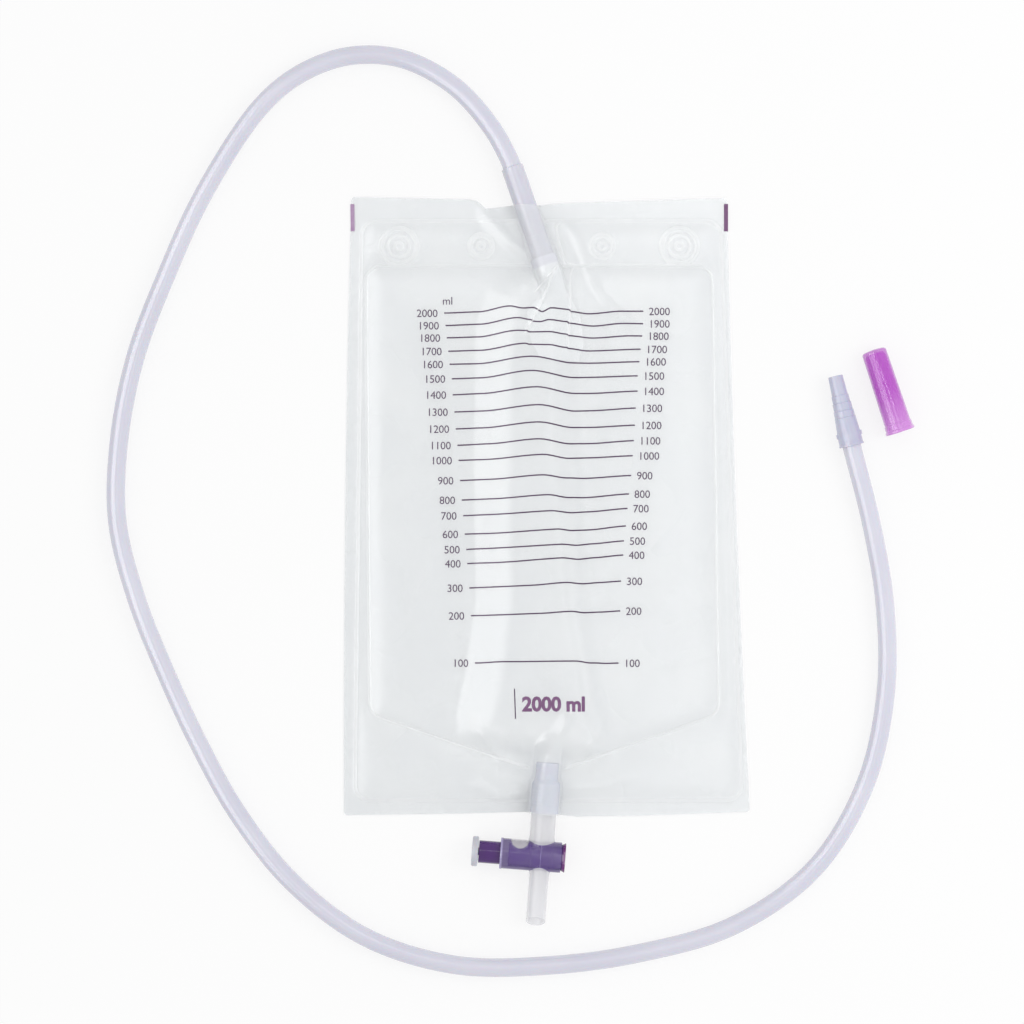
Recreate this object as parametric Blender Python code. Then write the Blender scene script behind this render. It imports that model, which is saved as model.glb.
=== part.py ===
"""Urine drainage bag, lying flat with its tube looped round it.

Frame: +X to the right and +Y up as the bag is seen from above, +Z up from the table.
The origin is at the middle of the bag, on the table. All sizes are in metres.
"""

import math

import bmesh
import bpy
from mathutils import Matrix, Vector
from mathutils.geometry import delaunay_2d_cdt, intersect_point_line

# Films
FILM_THICKNESS = 0.00035
SEAT_GAP = 0.0003
BAG_TOP_WIDTH = 0.2019
BAG_FOOT_WIDTH = 0.2183
BAG_LENGTH = 0.3308
TOP_SHIFT = -0.0042
SIDE_BOW = -0.0013
CORNER_RADIUS = 0.0020
TOP_LEFT_RISE = 0.0010
TOP_RIGHT_RISE = 0.0004
FOOT_LEFT_DROP = 0.0006
FOOT_RIGHT_RISE = 0.0012
PLEATED_TOP = (
    (-0.0420, -0.0003), (-0.0375, -0.0012), (-0.0329, -0.0054), (-0.0167, -0.0037),
    (-0.0061, -0.0040), (0.0035, -0.0027), (0.0150, -0.0021), (0.0500, -0.0010),
)
GATHERED_FOOT = (
    (-0.0495, 0.0002), (-0.0086, 0.0013), (0.0054, 0.0000), (0.0110, -0.0008),
    (0.0165, -0.0013), (0.0500, -0.0009),
)

# Weld lines
WELD_HALF_WIDTH = 0.0010
WELD_HEIGHT = 0.0004
OUTER_TOP_INSET = 0.0120
OUTER_LEFT_INSET = 0.0060
OUTER_RIGHT_INSET = 0.0038
OUTER_FOOT_INSET = 0.0074
OUTER_CORNER_RADIUS = 0.0080
RESERVOIR_TOP_INSET = 0.0362
RESERVOIR_SIDE_INSET_TOP = 0.0088
RESERVOIR_SIDE_INSET_FOOT = 0.0140
RESERVOIR_SHOULDER_RISE = 0.0540
RESERVOIR_MOUTH_RISE = 0.0250
RESERVOIR_CORNER_RADIUS = 0.0085

# Embossed hanger rings
EYE_ROW_DROP = 0.0256
LARGE_EYE_INSET = 0.0263
LARGE_EYE_RADII = (0.0096, 0.0059)
SMALL_EYE_PLACES = (-0.0355, 0.0296)
SMALL_EYE_RADII = (0.0064, 0.0024)
EYE_RIDGE_HALF_WIDTH = 0.0008
EYE_SIDES = 20

# Air between the films
RESERVOIR_PUFF = 0.0019
HEADER_PUFF = 0.0010
PUFF_REACH = 0.0060
BULGE_HEIGHT = 0.0062
BULGE_HALF_WIDTH = 0.0300
BULGE_END_WIDTH = 0.55
BULGE_ONSET = 0.83
TENT_ANGLE = math.radians(66.0)
TENT_CLEARANCE = 0.00065
TENT_HOLD = 0.0025
TENT_FADE = 0.0220
TENT_FADE_SHARES = (0.35, 0.75, 1.2)
FILM_GRID = 0.0125
LINE_STEP = 0.0140
WELD_STEP = 0.0210
GRID_CLEARANCE = 0.55
MERGE_DISTANCE = 0.00002
BLEND_POWER = 4.0
STEEPEST_NORMAL = 0.45

# Inlet sleeve and drainage tube
INLET_FOOT_X = -0.0005
INLET_LEAN = math.radians(19.1)
INLET_SLEEVE_LENGTH = 0.0558
INLET_SLEEVE_DIAMETER = 0.0119
TUBE_DIAMETER = 0.0100
TUBE_FIT = 0.0003
TUBE_INSERTION = 0.0270
TUBE_LEAD_OUT = 0.0030
TUBE_REST_HEIGHT = 0.00505
TUBE_LIFT_POINTS = 2
TUBE_LIFT_AT_SLEEVE = 0.7
TUBE_LIFT_AT_CONNECTOR = 0.6
TUBE_POINT_STEP = 0.0165
TUBE_BEVEL_RESOLUTION = 3

# Non-return valve
FLAP_THICKNESS = 0.00022
FLAP_OVERLAP = 0.0050
FLAP_LENGTH = 0.0560
FLAP_HALF_WIDTH = 0.0145
FLAP_NECK_INSET = 0.0012
FLAP_NECK_LENGTH = 0.0180
FLAP_FADE = 0.0150
FLAP_COUNTER_LEAN = 0.3
FLAP_FOOT_START = 0.8
FLAP_FOOT_NARROWING = 0.25
FLAP_ROWS = 12
FLAP_COLUMNS = (-1.0, -0.82, -0.6, -0.4, -0.2, 0.0, 0.2, 0.4, 0.6, 0.82, 1.0)

# Step connector
CONNECTOR_LENGTH = 0.0384
CONNECTOR_BASE_DIAMETER = 0.0136
CONNECTOR_TIP_DIAMETER = 0.0079
CONNECTOR_TAPER = ((0.0, 0.0136), (0.0008, 0.0135), (0.0013, 0.0130), (0.0060, 0.0127),
                   (0.0152, 0.0114), (0.0276, 0.0090), (0.0384, 0.0079))
CONNECTOR_BORE = 0.0050
CONNECTOR_SOCKET_DEPTH = 0.0150
CONNECTOR_STEPS = (0.0156, 0.0192, 0.0235, 0.0276)
CONNECTOR_STEP_DEPTH = 0.00036
CONNECTOR_EDGE = 0.00025
CONNECTOR_PLACE = (0.1633, 0.0325)
CONNECTOR_LEAN = math.radians(13.3)
LUG_PLACE = 0.0062
LUG_SIZE = (0.0030, 0.0024, 0.0005)

# Connector cap
CAP_LENGTH = 0.0465
CAP_MOUTH_DIAMETER = 0.0152
CAP_END_DIAMETER = 0.0136
CAP_FLANGE_DIAMETER = 0.0161
CAP_FLANGE_THICKNESS = 0.0013
CAP_WALL = 0.0010
CAP_END_ROUND = 0.0021
CAP_STEP_PLACE = 0.0046
CAP_STEP_DEPTH = 0.0003
CAP_PLACE = (0.1893, 0.0399)
CAP_LEAN = math.radians(18.2)

# Outlet sleeve and tap
TAP_LEAN = math.radians(4.4)
TAP_CROSS_X = -0.0035
TAP_DROP = 0.0232
SLEEVE_TUCK = 0.0013
BARREL_DIAMETER = 0.0167
BARREL_LEFT = 0.0217
BARREL_RIGHT = 0.0110
BARREL_LIP = 0.0012
BARREL_LIP_HEIGHT = 0.0002
PLUNGER_DIAMETER = 0.0121
PISTON_DIAMETER = 0.0139
PISTON_START = 0.0086
PISTON_CHAMFER = 0.0007
PORT_SCOOPS = ((0.0048, 0.0042), (0.0046, 0.0013))
SEAL_RIB_HEIGHT = 0.0002
SEAL_RIB_WIDTH = 0.0012
BORE_CLEARANCE = 0.0003
SPIGOT_DIAMETER = 0.0134
SPIGOT_BORE = 0.0086
SPIGOT_INSERTION = 0.0150
SPIGOT_CHAMFER = 0.0005
SADDLE_RISE = 0.0024
SADDLE_SPREAD = 0.0011
SPOUT_DIAMETER = 0.0104
SPOUT_BORE = 0.0080
SPOUT_LENGTH = 0.0377
SPOUT_SLANT = math.radians(28.0)
SPOUT_TRIM = 0.0006
TRAVEL = 0.0115
CROSS_HOLE_DIAMETER = 0.0084
PLUNGER_FLARE_DIAMETER = 0.0159
PLUNGER_FLARE_LENGTH = 0.0019
FLARE_RIM = 0.0009
DISC_DIAMETER = 0.0162
DISC_THICKNESS = 0.0034
DISC_ROUND = 0.0008
STUD_DIAMETER = 0.0042
STUD_LENGTH = 0.0050
SLEEVE_WALL = 0.0007
SLEEVE_FIT = 0.0003
OUTLET_SLEEVE_LENGTH = 0.0268
OUTLET_NECK_DIAMETER = 0.0124
OUTLET_TAPER = 0.0030

TURNED_SIDES = 32
BORE_SIDES = 24
BORE_TURN = math.radians(3.0)
SHARP_ANGLE = math.radians(35.0)

# Places worked out from the sizes above
TOP_Y = BAG_LENGTH / 2
FOOT_Y = -BAG_LENGTH / 2
BASE_UNDERSIDE = FILM_THICKNESS + SEAT_GAP
RESERVOIR_TOP_Y = TOP_Y - RESERVOIR_TOP_INSET
INLET_AXIS_Z = BASE_UNDERSIDE + INLET_SLEEVE_DIAMETER / 2
INLET_DIRECTION = Vector((math.sin(INLET_LEAN), -math.cos(INLET_LEAN)))
INLET_FOOT = Vector((INLET_FOOT_X, RESERVOIR_TOP_Y))
INLET_MOUTH = INLET_FOOT - INLET_DIRECTION * INLET_SLEEVE_LENGTH
SLEEVE_OUTER_DIAMETER = SPIGOT_DIAMETER + 2 * (SLEEVE_FIT + SLEEVE_WALL)
TAP_AXIS_Z = max(BARREL_DIAMETER / 2, BASE_UNDERSIDE + SLEEVE_OUTER_DIAMETER / 2)
TAP_CENTRE = Vector((TAP_CROSS_X, FOOT_Y + SLEEVE_TUCK - TAP_DROP))
TAP_UP = Vector((math.sin(TAP_LEAN), math.cos(TAP_LEAN)))
BORE_DIAMETER = PISTON_DIAMETER + 2 * (SEAL_RIB_HEIGHT + BORE_CLEARANCE)

# The drainage tube's route after it leaves the inlet sleeve, as it lies on the table
TUBE_ROUTE = (
    (-0.0293, 0.2024), (-0.0497, 0.2253), (-0.0778, 0.2401), (-0.1061, 0.2416),
    (-0.1319, 0.2323), (-0.1534, 0.2147), (-0.1837, 0.1687), (-0.2047, 0.1231),
    (-0.2209, 0.0798), (-0.2295, 0.0361), (-0.2306, -0.0073), (-0.2205, -0.0488),
    (-0.2053, -0.0874), (-0.1878, -0.1253), (-0.1664, -0.1640), (-0.1372, -0.2011),
    (-0.0979, -0.2308), (-0.0503, -0.2458), (-0.0002, -0.2463), (0.0502, -0.2395),
    (0.1003, -0.2247), (0.1432, -0.1944), (0.1705, -0.1495), (0.1817, -0.0994),
    (0.1810, -0.0511), (0.1734, -0.0072),
)

# Folds of the front film: crest points, height and half width
FOLD_END_LIFT = 0.3
FOLD_END_REACH = 0.14
FOLDS = (
    (((-0.0355, 0.1595), (-0.0199, 0.1417), (-0.0056, 0.1312)), 0.0028, 0.0045),
    (((0.0075, 0.1520), (0.0215, 0.1340), (0.0500, 0.0950)), 0.0013, 0.0045),
    (((-0.0306, -0.0718), (-0.0484, -0.1159), (-0.0328, -0.1487)), 0.0014, 0.0045),
    (((0.0080, 0.0200), (0.0160, -0.0500), (0.0320, -0.1260), (0.0385, -0.1450)), 0.0012, 0.0045),
)

# The crest of the air bulge down the middle of the reservoir
BULGE_SPINE = (
    (-0.0005, 0.1290), (-0.0050, 0.1000), (-0.0105, 0.0570), (-0.0113, 0.0030),
    (-0.0075, -0.0500), (-0.0021, -0.1040), (0.0010, -0.1380),
)


def clear_scene():
    """Remove every object so that the file can be run again in one session."""
    for obj in list(bpy.data.objects):
        bpy.data.objects.remove(obj, do_unlink=True)


def make_material(name, colour, roughness, metallic=0.0, alpha=1.0):
    """Return a Principled material with the piece's own colour."""
    material = bpy.data.materials.new(name)
    material.use_nodes = True
    shader = material.node_tree.nodes["Principled BSDF"]
    shader.inputs["Base Color"].default_value = (*colour, 1.0)
    shader.inputs["Roughness"].default_value = roughness
    shader.inputs["Metallic"].default_value = metallic
    shader.inputs["Alpha"].default_value = alpha
    return material


def add_object(name, bm, material):
    """Turn a finished bmesh into a named object with its material."""
    bmesh.ops.recalc_face_normals(bm, faces=bm.faces)
    mesh = bpy.data.meshes.new(name)
    bm.to_mesh(mesh)
    bm.free()
    mesh.shade_smooth()
    mesh.set_sharp_from_angle(angle=SHARP_ANGLE)
    mesh.materials.append(material)
    obj = bpy.data.objects.new(name, mesh)
    bpy.context.scene.collection.objects.link(obj)
    return obj


def lathe(profile, sides=TURNED_SIDES, closed=False):
    """Spin an (along, radius) profile round the local Y axis and return the bmesh.

    A closed profile is a ring section, for a piece with a bore right through.
    """
    bm = bmesh.new()
    verts = [bm.verts.new((radius, along, 0.0)) for along, radius in profile]
    edges = [bm.edges.new(pair) for pair in zip(verts, verts[1:])]
    if closed:
        edges.append(bm.edges.new((verts[-1], verts[0])))
    bmesh.ops.spin(
        bm, geom=verts + edges, cent=(0.0, 0.0, 0.0), axis=(0.0, 1.0, 0.0),
        angle=2 * math.pi, steps=sides, use_merge=True,
    )
    bmesh.ops.remove_doubles(bm, verts=bm.verts, dist=0.000002)
    return bm


def turned(name, profile, material, sides=TURNED_SIDES, closed=False):
    """Return a turned object from its (along, radius) profile."""
    return add_object(name, lathe(profile, sides, closed), material)


def cutter_from(bm, name):
    """Return a hidden wire object that a Boolean modifier uses."""
    bmesh.ops.recalc_face_normals(bm, faces=bm.faces)
    mesh = bpy.data.meshes.new(name)
    bm.to_mesh(mesh)
    bm.free()
    mesh.shade_smooth()
    mesh.set_sharp_from_angle(angle=SHARP_ANGLE)
    obj = bpy.data.objects.new(name, mesh)
    obj.hide_render = True
    obj.display_type = "WIRE"
    bpy.context.scene.collection.objects.link(obj)
    return obj


def add_boolean(obj, tool, operation):
    """Join or cut an object with a tool object by an exact Boolean."""
    modifier = obj.modifiers.new(tool.name, "BOOLEAN")
    modifier.operation = operation
    modifier.solver = "EXACT"
    modifier.object = tool


def smoothstep(value):
    """Ease a value from 0 to 1."""
    value = min(max(value, 0.0), 1.0)
    return value * value * (3 - 2 * value)


def blended(heights):
    """Return a smooth greatest value of the heights, never below any of them."""
    return sum(height ** BLEND_POWER for height in heights) ** (1 / BLEND_POWER)


def edge_x(side, y):
    """Return the bag's left (-1) or right (+1) edge at a height y."""
    down = (TOP_Y - y) / BAG_LENGTH
    width = BAG_TOP_WIDTH + (BAG_FOOT_WIDTH - BAG_TOP_WIDTH) * down
    bow = SIDE_BOW * 4 * down * (1 - down)
    return TOP_SHIFT * (1 - down) + side * width / 2 + bow


def rounded(points, radius, arc_steps=4):
    """Return a polyline with its inner corners rounded by arcs."""
    result = [Vector(points[0])]
    for before, corner, after in zip(points, points[1:], points[2:]):
        corner = Vector(corner)
        back = (Vector(before) - corner).normalized()
        ahead = (Vector(after) - corner).normalized()
        half_angle = back.angle(ahead) / 2
        centre = corner + (back + ahead).normalized() * radius / math.sin(half_angle)
        start = (corner + back * radius / math.tan(half_angle) - centre).normalized()
        finish = (corner + ahead * radius / math.tan(half_angle) - centre).normalized()
        for step in range(arc_steps + 1):
            result.append(centre + start.slerp(finish, step / arc_steps) * radius)
    result.append(Vector(points[-1]))
    return result


def resampled(points, step):
    """Return a polyline with no stretch longer than the step."""
    result = [Vector(points[0])]
    for start, end in zip(points, points[1:]):
        count = max(1, math.ceil((Vector(end) - Vector(start)).length / step))
        for index in range(1, count + 1):
            result.append(Vector(start).lerp(Vector(end), index / count))
    return result


def offset_line(points, distance):
    """Return a polyline moved sideways by a distance."""
    result = []
    last = len(points) - 1
    for index, point in enumerate(points):
        along = points[min(index + 1, last)] - points[max(index - 1, 0)]
        side = Vector((-along.y, along.x)).normalized()
        result.append(point + side * distance)
    return result


def catmull_rom(points, step):
    """Return points on a smooth curve through the given 3-D points."""
    padded = [2 * points[0] - points[1], *points, 2 * points[-1] - points[-2]]
    result = [points[0]]
    for p0, p1, p2, p3 in zip(padded, padded[1:], padded[2:], padded[3:]):
        knots = [0.0]
        for start, end in ((p0, p1), (p1, p2), (p2, p3)):
            knots.append(knots[-1] + math.sqrt((end - start).length))
        t0, t1, t2, t3 = knots
        count = max(1, round((p2 - p1).length / step))
        for index in range(1, count + 1):
            t = t1 + (t2 - t1) * index / count
            a1 = p0.lerp(p1, (t - t0) / (t1 - t0))
            a2 = p1.lerp(p2, (t - t1) / (t2 - t1))
            a3 = p2.lerp(p3, (t - t2) / (t3 - t2))
            b1 = a1.lerp(a2, (t - t0) / (t2 - t0))
            b2 = a2.lerp(a3, (t - t1) / (t3 - t1))
            result.append(b1.lerp(b2, (t - t1) / (t2 - t1)))
    return result


def line_distance(point, points):
    """Return the distance from a point to a polyline and the share of its length there."""
    best = (1.0, 0.0)
    travelled = 0.0
    for start, end in zip(points, points[1:]):
        length = (end - start).length
        share = intersect_point_line(point, start, end)[1]
        share = min(max(share, 0.0), 1.0)
        distance = (start.lerp(end, share) - point).length
        if distance < best[0]:
            best = (distance, travelled + share * length)
        travelled += length
    return best[0], best[1] / travelled


def is_inside(point, loop):
    """Return whether a 2-D point is inside a closed loop."""
    inside = False
    for start, end in zip(loop, loop[1:] + loop[:1]):
        if (start.y > point.y) != (end.y > point.y):
            crossing = start.x + (point.y - start.y) * (end.x - start.x) / (end.y - start.y)
            if point.x < crossing:
                inside = not inside
    return inside


def tent_reach(radius, axis_z):
    """Return how far from a sleeve's axis the film that it lifts comes down again."""
    fall = axis_z + radius * math.cos(TENT_ANGLE) - BASE_UNDERSIDE
    return radius * math.sin(TENT_ANGLE) + fall / math.tan(TENT_ANGLE)


def tent_height(side, radius, axis_z):
    """Return the film's height over a sleeve, at a distance to one side of its axis."""
    side = abs(side)
    if side < radius * math.sin(TENT_ANGLE):
        return axis_z + math.sqrt(radius * radius - side * side)
    slope_start = axis_z + radius * math.cos(TENT_ANGLE)
    fall = (side - radius * math.sin(TENT_ANGLE)) * math.tan(TENT_ANGLE)
    return max(slope_start - fall, BASE_UNDERSIDE)


def tent_over(point, start, direction, length, radius, axis_z, fade):
    """Return how far a sleeve lifts the film, fading out past the sleeve's end."""
    offset = point - start
    along = offset.dot(direction)
    side = offset.x * direction.y - offset.y * direction.x
    past = max(along - length - TENT_HOLD, 0.0) / fade
    return (tent_height(side, radius, axis_z) - BASE_UNDERSIDE) * math.exp(-past * past)


def outline_loop():
    """Return the bag's outline, anticlockwise, with its pleated top and its gathered foot."""
    corners = [(edge_x(-1, TOP_Y), TOP_Y + TOP_LEFT_RISE),
               (edge_x(-1, FOOT_Y), FOOT_Y - FOOT_LEFT_DROP),
               (edge_x(1, FOOT_Y), FOOT_Y + FOOT_RIGHT_RISE),
               (edge_x(1, TOP_Y), TOP_Y + TOP_RIGHT_RISE)]
    arcs = [rounded([before, corner, after], CORNER_RADIUS, 2)[1:-1]
            for before, corner, after in zip(corners[-1:] + corners, corners, corners[1:] + corners)]
    foot = [Vector((x, FOOT_Y + rise)) for x, rise in GATHERED_FOOT]
    top = [Vector((x, TOP_Y + rise)) for x, rise in reversed(PLEATED_TOP)]
    loop = arcs[0] + arcs[1] + foot + arcs[2] + arcs[3] + top
    points = resampled(loop + loop[:1], LINE_STEP)[:-1]
    result = []
    for point in points:
        down = (TOP_Y - point.y) / BAG_LENGTH
        result.append(Vector((point.x + SIDE_BOW * 4 * down * (1 - down), point.y)))
    return result


def weld_lines():
    """Return the crests of the weld lines: outer and reservoir, left and right."""
    inlet_reach = tent_reach(INLET_SLEEVE_DIAMETER / 2 + TENT_CLEARANCE, INLET_AXIS_Z)
    outlet_reach = tent_reach(SLEEVE_OUTER_DIAMETER / 2 + TENT_CLEARANCE, TAP_AXIS_Z)
    outer_top = TOP_Y - OUTER_TOP_INSET
    outer_foot = FOOT_Y + OUTER_FOOT_INSET
    shoulder = FOOT_Y + RESERVOIR_SHOULDER_RISE
    mouth = FOOT_Y + RESERVOIR_MOUTH_RISE
    lines = []
    for side, inset in ((-1, OUTER_LEFT_INSET), (1, OUTER_RIGHT_INSET)):
        at_top = INLET_FOOT_X - (outer_top - RESERVOIR_TOP_Y) * math.tan(INLET_LEAN)
        at_top += side * (inlet_reach + WELD_HALF_WIDTH) / math.cos(INLET_LEAN)
        at_foot = TAP_CROSS_X + (outer_foot - TAP_CENTRE.y) * math.tan(TAP_LEAN)
        at_foot += side * (outlet_reach + WELD_HALF_WIDTH)
        lines.append(rounded([
            (at_top, outer_top),
            (edge_x(side, outer_top) - side * inset, outer_top),
            (edge_x(side, outer_foot) - side * inset, outer_foot),
            (at_foot, outer_foot),
        ], OUTER_CORNER_RADIUS))
    for side in (-1, 1):
        at_top = INLET_FOOT_X + side * (inlet_reach + WELD_HALF_WIDTH) / math.cos(INLET_LEAN)
        at_foot = TAP_CROSS_X + (mouth - TAP_CENTRE.y) * math.tan(TAP_LEAN)
        at_foot += side * (outlet_reach + WELD_HALF_WIDTH)
        upper_x = edge_x(side, RESERVOIR_TOP_Y) - side * RESERVOIR_SIDE_INSET_TOP
        lower_x = edge_x(side, shoulder) - side * RESERVOIR_SIDE_INSET_FOOT
        lines.append(rounded([
            (at_top, RESERVOIR_TOP_Y), (upper_x, RESERVOIR_TOP_Y),
            (lower_x, shoulder), (at_foot, mouth),
        ], RESERVOIR_CORNER_RADIUS))
    return lines


def eye_rings():
    """Return the centre and the crest radius of each embossed ring."""
    row = TOP_Y - EYE_ROW_DROP
    rings = []
    for side in (-1, 1):
        centre = Vector((edge_x(side, row) - side * LARGE_EYE_INSET, row))
        rings.extend((centre, radius) for radius in LARGE_EYE_RADII)
    for place in SMALL_EYE_PLACES:
        rings.extend((Vector((place, row)), radius) for radius in SMALL_EYE_RADII)
    return rings


def circle_points(centre, radius, sides):
    """Return the points of a closed circle."""
    turns = [2 * math.pi * index / sides for index in range(sides + 1)]
    return [centre + Vector((math.cos(turn), math.sin(turn))) * radius for turn in turns]


class FrontFilmForm:
    """The shape of the front film's underside, as a height over each point of the bag."""

    def __init__(self):
        self.welds = weld_lines()
        self.rings = eye_rings()
        self.spine = [Vector(point) for point in BULGE_SPINE]
        self.folds = [([Vector(point) for point in crest], height, width)
                      for crest, height, width in FOLDS]
        self.reservoir = self.welds[2][::-1] + self.welds[3]
        self.outer = self.welds[0][::-1] + self.welds[1]

    def puff(self, point):
        """Return how far the trapped air lifts the film."""
        if is_inside(point, self.reservoir):
            lift = RESERVOIR_PUFF
        elif is_inside(point, self.outer):
            lift = HEADER_PUFF
        else:
            return 0.0
        nearest = min(line_distance(point, line)[0] for line in self.welds)
        return lift * (1 - math.exp(-nearest / PUFF_REACH))

    def bulge(self, point):
        """Return the height of the air bulge down the reservoir's middle."""
        distance, share = line_distance(point, self.spine)
        swell = BULGE_END_WIDTH + (1 - BULGE_END_WIDTH) * math.sin(math.pi * share)
        width = BULGE_HALF_WIDTH * swell
        if distance > width:
            return 0.0
        return BULGE_HEIGHT * (0.5 + 0.5 * math.cos(math.pi * distance / width))

    def fold_lift(self, point):
        """Return the height that the folds add."""
        lift = 0.0
        for crest, height, width in self.folds:
            distance, share = line_distance(point, crest)
            if distance < width:
                rise = FOLD_END_LIFT + (1 - FOLD_END_LIFT) * min(share, 1 - share) / FOLD_END_REACH
                lift += height * (1 - distance / width) * min(rise, 1.0)
        return lift

    def ridge_lift(self, point):
        """Return the height of the weld line or ring at a point."""
        lift = 0.0
        for line in self.welds:
            distance = line_distance(point, line)[0]
            lift = max(lift, WELD_HEIGHT * (1 - distance / WELD_HALF_WIDTH))
        for centre, radius in self.rings:
            distance = abs((point - centre).length - radius)
            lift = max(lift, WELD_HEIGHT * (1 - distance / EYE_RIDGE_HALF_WIDTH))
        return lift

    def underside(self, point):
        """Return the film's underside height at a point."""
        foot_clearance = 2 * SEAT_GAP + FLAP_THICKNESS
        inlet_radius = INLET_SLEEVE_DIAMETER / 2 + TENT_CLEARANCE
        along = (point - INLET_MOUTH).dot(INLET_DIRECTION)
        to_foot = (along - INLET_SLEEVE_LENGTH + 3 * FLAP_OVERLAP) / FLAP_OVERLAP
        inlet_radius += foot_clearance * smoothstep(to_foot)
        inlet = tent_over(point, INLET_MOUTH, INLET_DIRECTION, INLET_SLEEVE_LENGTH,
                          inlet_radius, INLET_AXIS_Z, TENT_FADE)
        outlet_length = TAP_DROP + OUTLET_SLEEVE_LENGTH
        outlet = tent_over(point, TAP_CENTRE, TAP_UP, outlet_length,
                           SLEEVE_OUTER_DIAMETER / 2 + TENT_CLEARANCE, TAP_AXIS_Z, TENT_FADE)
        air = self.puff(point)
        air += self.bulge(point) * smoothstep(air / (BULGE_ONSET * RESERVOIR_PUFF))
        height = BASE_UNDERSIDE + blended((air, inlet, outlet))
        folds = self.fold_lift(point) * (1 - smoothstep(max(inlet, outlet) / RESERVOIR_PUFF))
        return height + folds + self.ridge_lift(point)


def sleeve_lines(start, direction, length, radius, axis_z):
    """Return the lines along a sleeve, and on past it, at which the film over it bends."""
    reach = tent_reach(radius, axis_z)
    bend = radius * math.sin(TENT_ANGLE)
    across = Vector((-direction.y, direction.x))
    stations = [0.0, length, length + TENT_HOLD]
    stations += [length + TENT_HOLD + TENT_FADE * share for share in TENT_FADE_SHARES]
    sides = [share * bend for share in (-1.0, -0.5, 0.0, 0.5, 1.0)]
    sides += [side * place for side in (-1, 1) for place in (reach, (bend + reach) / 2)]
    lines = []
    for side in sides:
        foot = start + across * side
        lines.append(resampled([foot + direction * station for station in stations], LINE_STEP))
    return lines


def film_plan(form):
    """Return the front film's plan as 2-D triangles: points and index triples."""
    outline = outline_loop()
    lines = []
    for weld in form.welds:
        crest = resampled(weld, WELD_STEP)
        for offset in (-WELD_HALF_WIDTH, 0.0, WELD_HALF_WIDTH):
            lines.append(offset_line(crest, offset))
    for centre, radius in form.rings:
        sides = EYE_SIDES if radius > LARGE_EYE_RADII[1] / 2 else EYE_SIDES // 2
        for offset in (-EYE_RIDGE_HALF_WIDTH, 0.0, EYE_RIDGE_HALF_WIDTH):
            lines.append(circle_points(centre, radius + offset, sides))
    for crest, _, width in form.folds:
        crest = resampled(crest, LINE_STEP)
        for offset in (-width, 0.0, width):
            lines.append(offset_line(crest, offset))
    lines += sleeve_lines(INLET_MOUTH, INLET_DIRECTION, INLET_SLEEVE_LENGTH,
                          INLET_SLEEVE_DIAMETER / 2 + TENT_CLEARANCE, INLET_AXIS_Z)
    lines += sleeve_lines(TAP_CENTRE, TAP_UP, TAP_DROP + OUTLET_SLEEVE_LENGTH,
                          SLEEVE_OUTER_DIAMETER / 2 + TENT_CLEARANCE, TAP_AXIS_Z)
    points = list(outline)
    edges = [(index, (index + 1) % len(outline)) for index in range(len(outline))]
    for line in lines:
        first = len(points)
        points.extend(line)
        edges.extend((first + index, first + index + 1) for index in range(len(line) - 1))
    fixed = list(points)
    row = 0
    y = FOOT_Y
    while y < TOP_Y:
        x = -BAG_FOOT_WIDTH / 2 + (row % 2) * FILM_GRID / 2
        while x < BAG_FOOT_WIDTH / 2:
            candidate = Vector((x, y))
            clear = min((candidate - other).length for other in fixed)
            if clear > FILM_GRID * GRID_CLEARANCE and is_inside(candidate, outline):
                points.append(candidate)
            x += FILM_GRID
        y += FILM_GRID * math.sqrt(3) / 2
        row += 1
    face = list(range(len(outline)))
    plan = delaunay_2d_cdt(points, edges, [face], 1, MERGE_DISTANCE)
    return plan[0], plan[2]


def thicken(bm, thickness):
    """Close an open sheet into a solid by a copy of it, lifted by the film's thickness."""
    bmesh.ops.recalc_face_normals(bm, faces=bm.faces)
    bm.normal_update()
    lower = list(bm.verts)
    lower_faces = list(bm.faces)
    boundary = [edge for edge in bm.edges if edge.is_boundary]
    partner = {}
    for vert in lower:
        lift = thickness / max(abs(vert.normal.z), STEEPEST_NORMAL)
        partner[vert] = bm.verts.new(vert.co + Vector((0.0, 0.0, lift)))
    for face in lower_faces:
        bm.faces.new([partner[vert] for vert in reversed(face.verts)])
    for edge in boundary:
        start, end = edge.verts
        bm.faces.new((start, end, partner[end], partner[start]))


def build_back_film(material):
    """Build the flat back sheet from the bag's outline."""
    bm = bmesh.new()
    face = bm.faces.new([bm.verts.new((point.x, point.y, 0.0)) for point in outline_loop()])
    extruded = bmesh.ops.extrude_face_region(bm, geom=[face])
    moved = [item for item in extruded["geom"] if isinstance(item, bmesh.types.BMVert)]
    bmesh.ops.translate(bm, verts=moved, vec=(0, 0, FILM_THICKNESS))
    return add_object("back_film", bm, material)


def build_front_film(material):
    """Build the front sheet, tented over the sleeves and embossed by the welds."""
    form = FrontFilmForm()
    points, triangles = film_plan(form)
    bm = bmesh.new()
    verts = {}
    for index in sorted({index for triangle in triangles for index in triangle}):
        point = Vector(points[index])
        verts[index] = bm.verts.new((point.x, point.y, form.underside(point)))
    for triangle in triangles:
        bm.faces.new([verts[index] for index in triangle])
    thicken(bm, FILM_THICKNESS)
    return add_object("front_film", bm, material)


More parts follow.
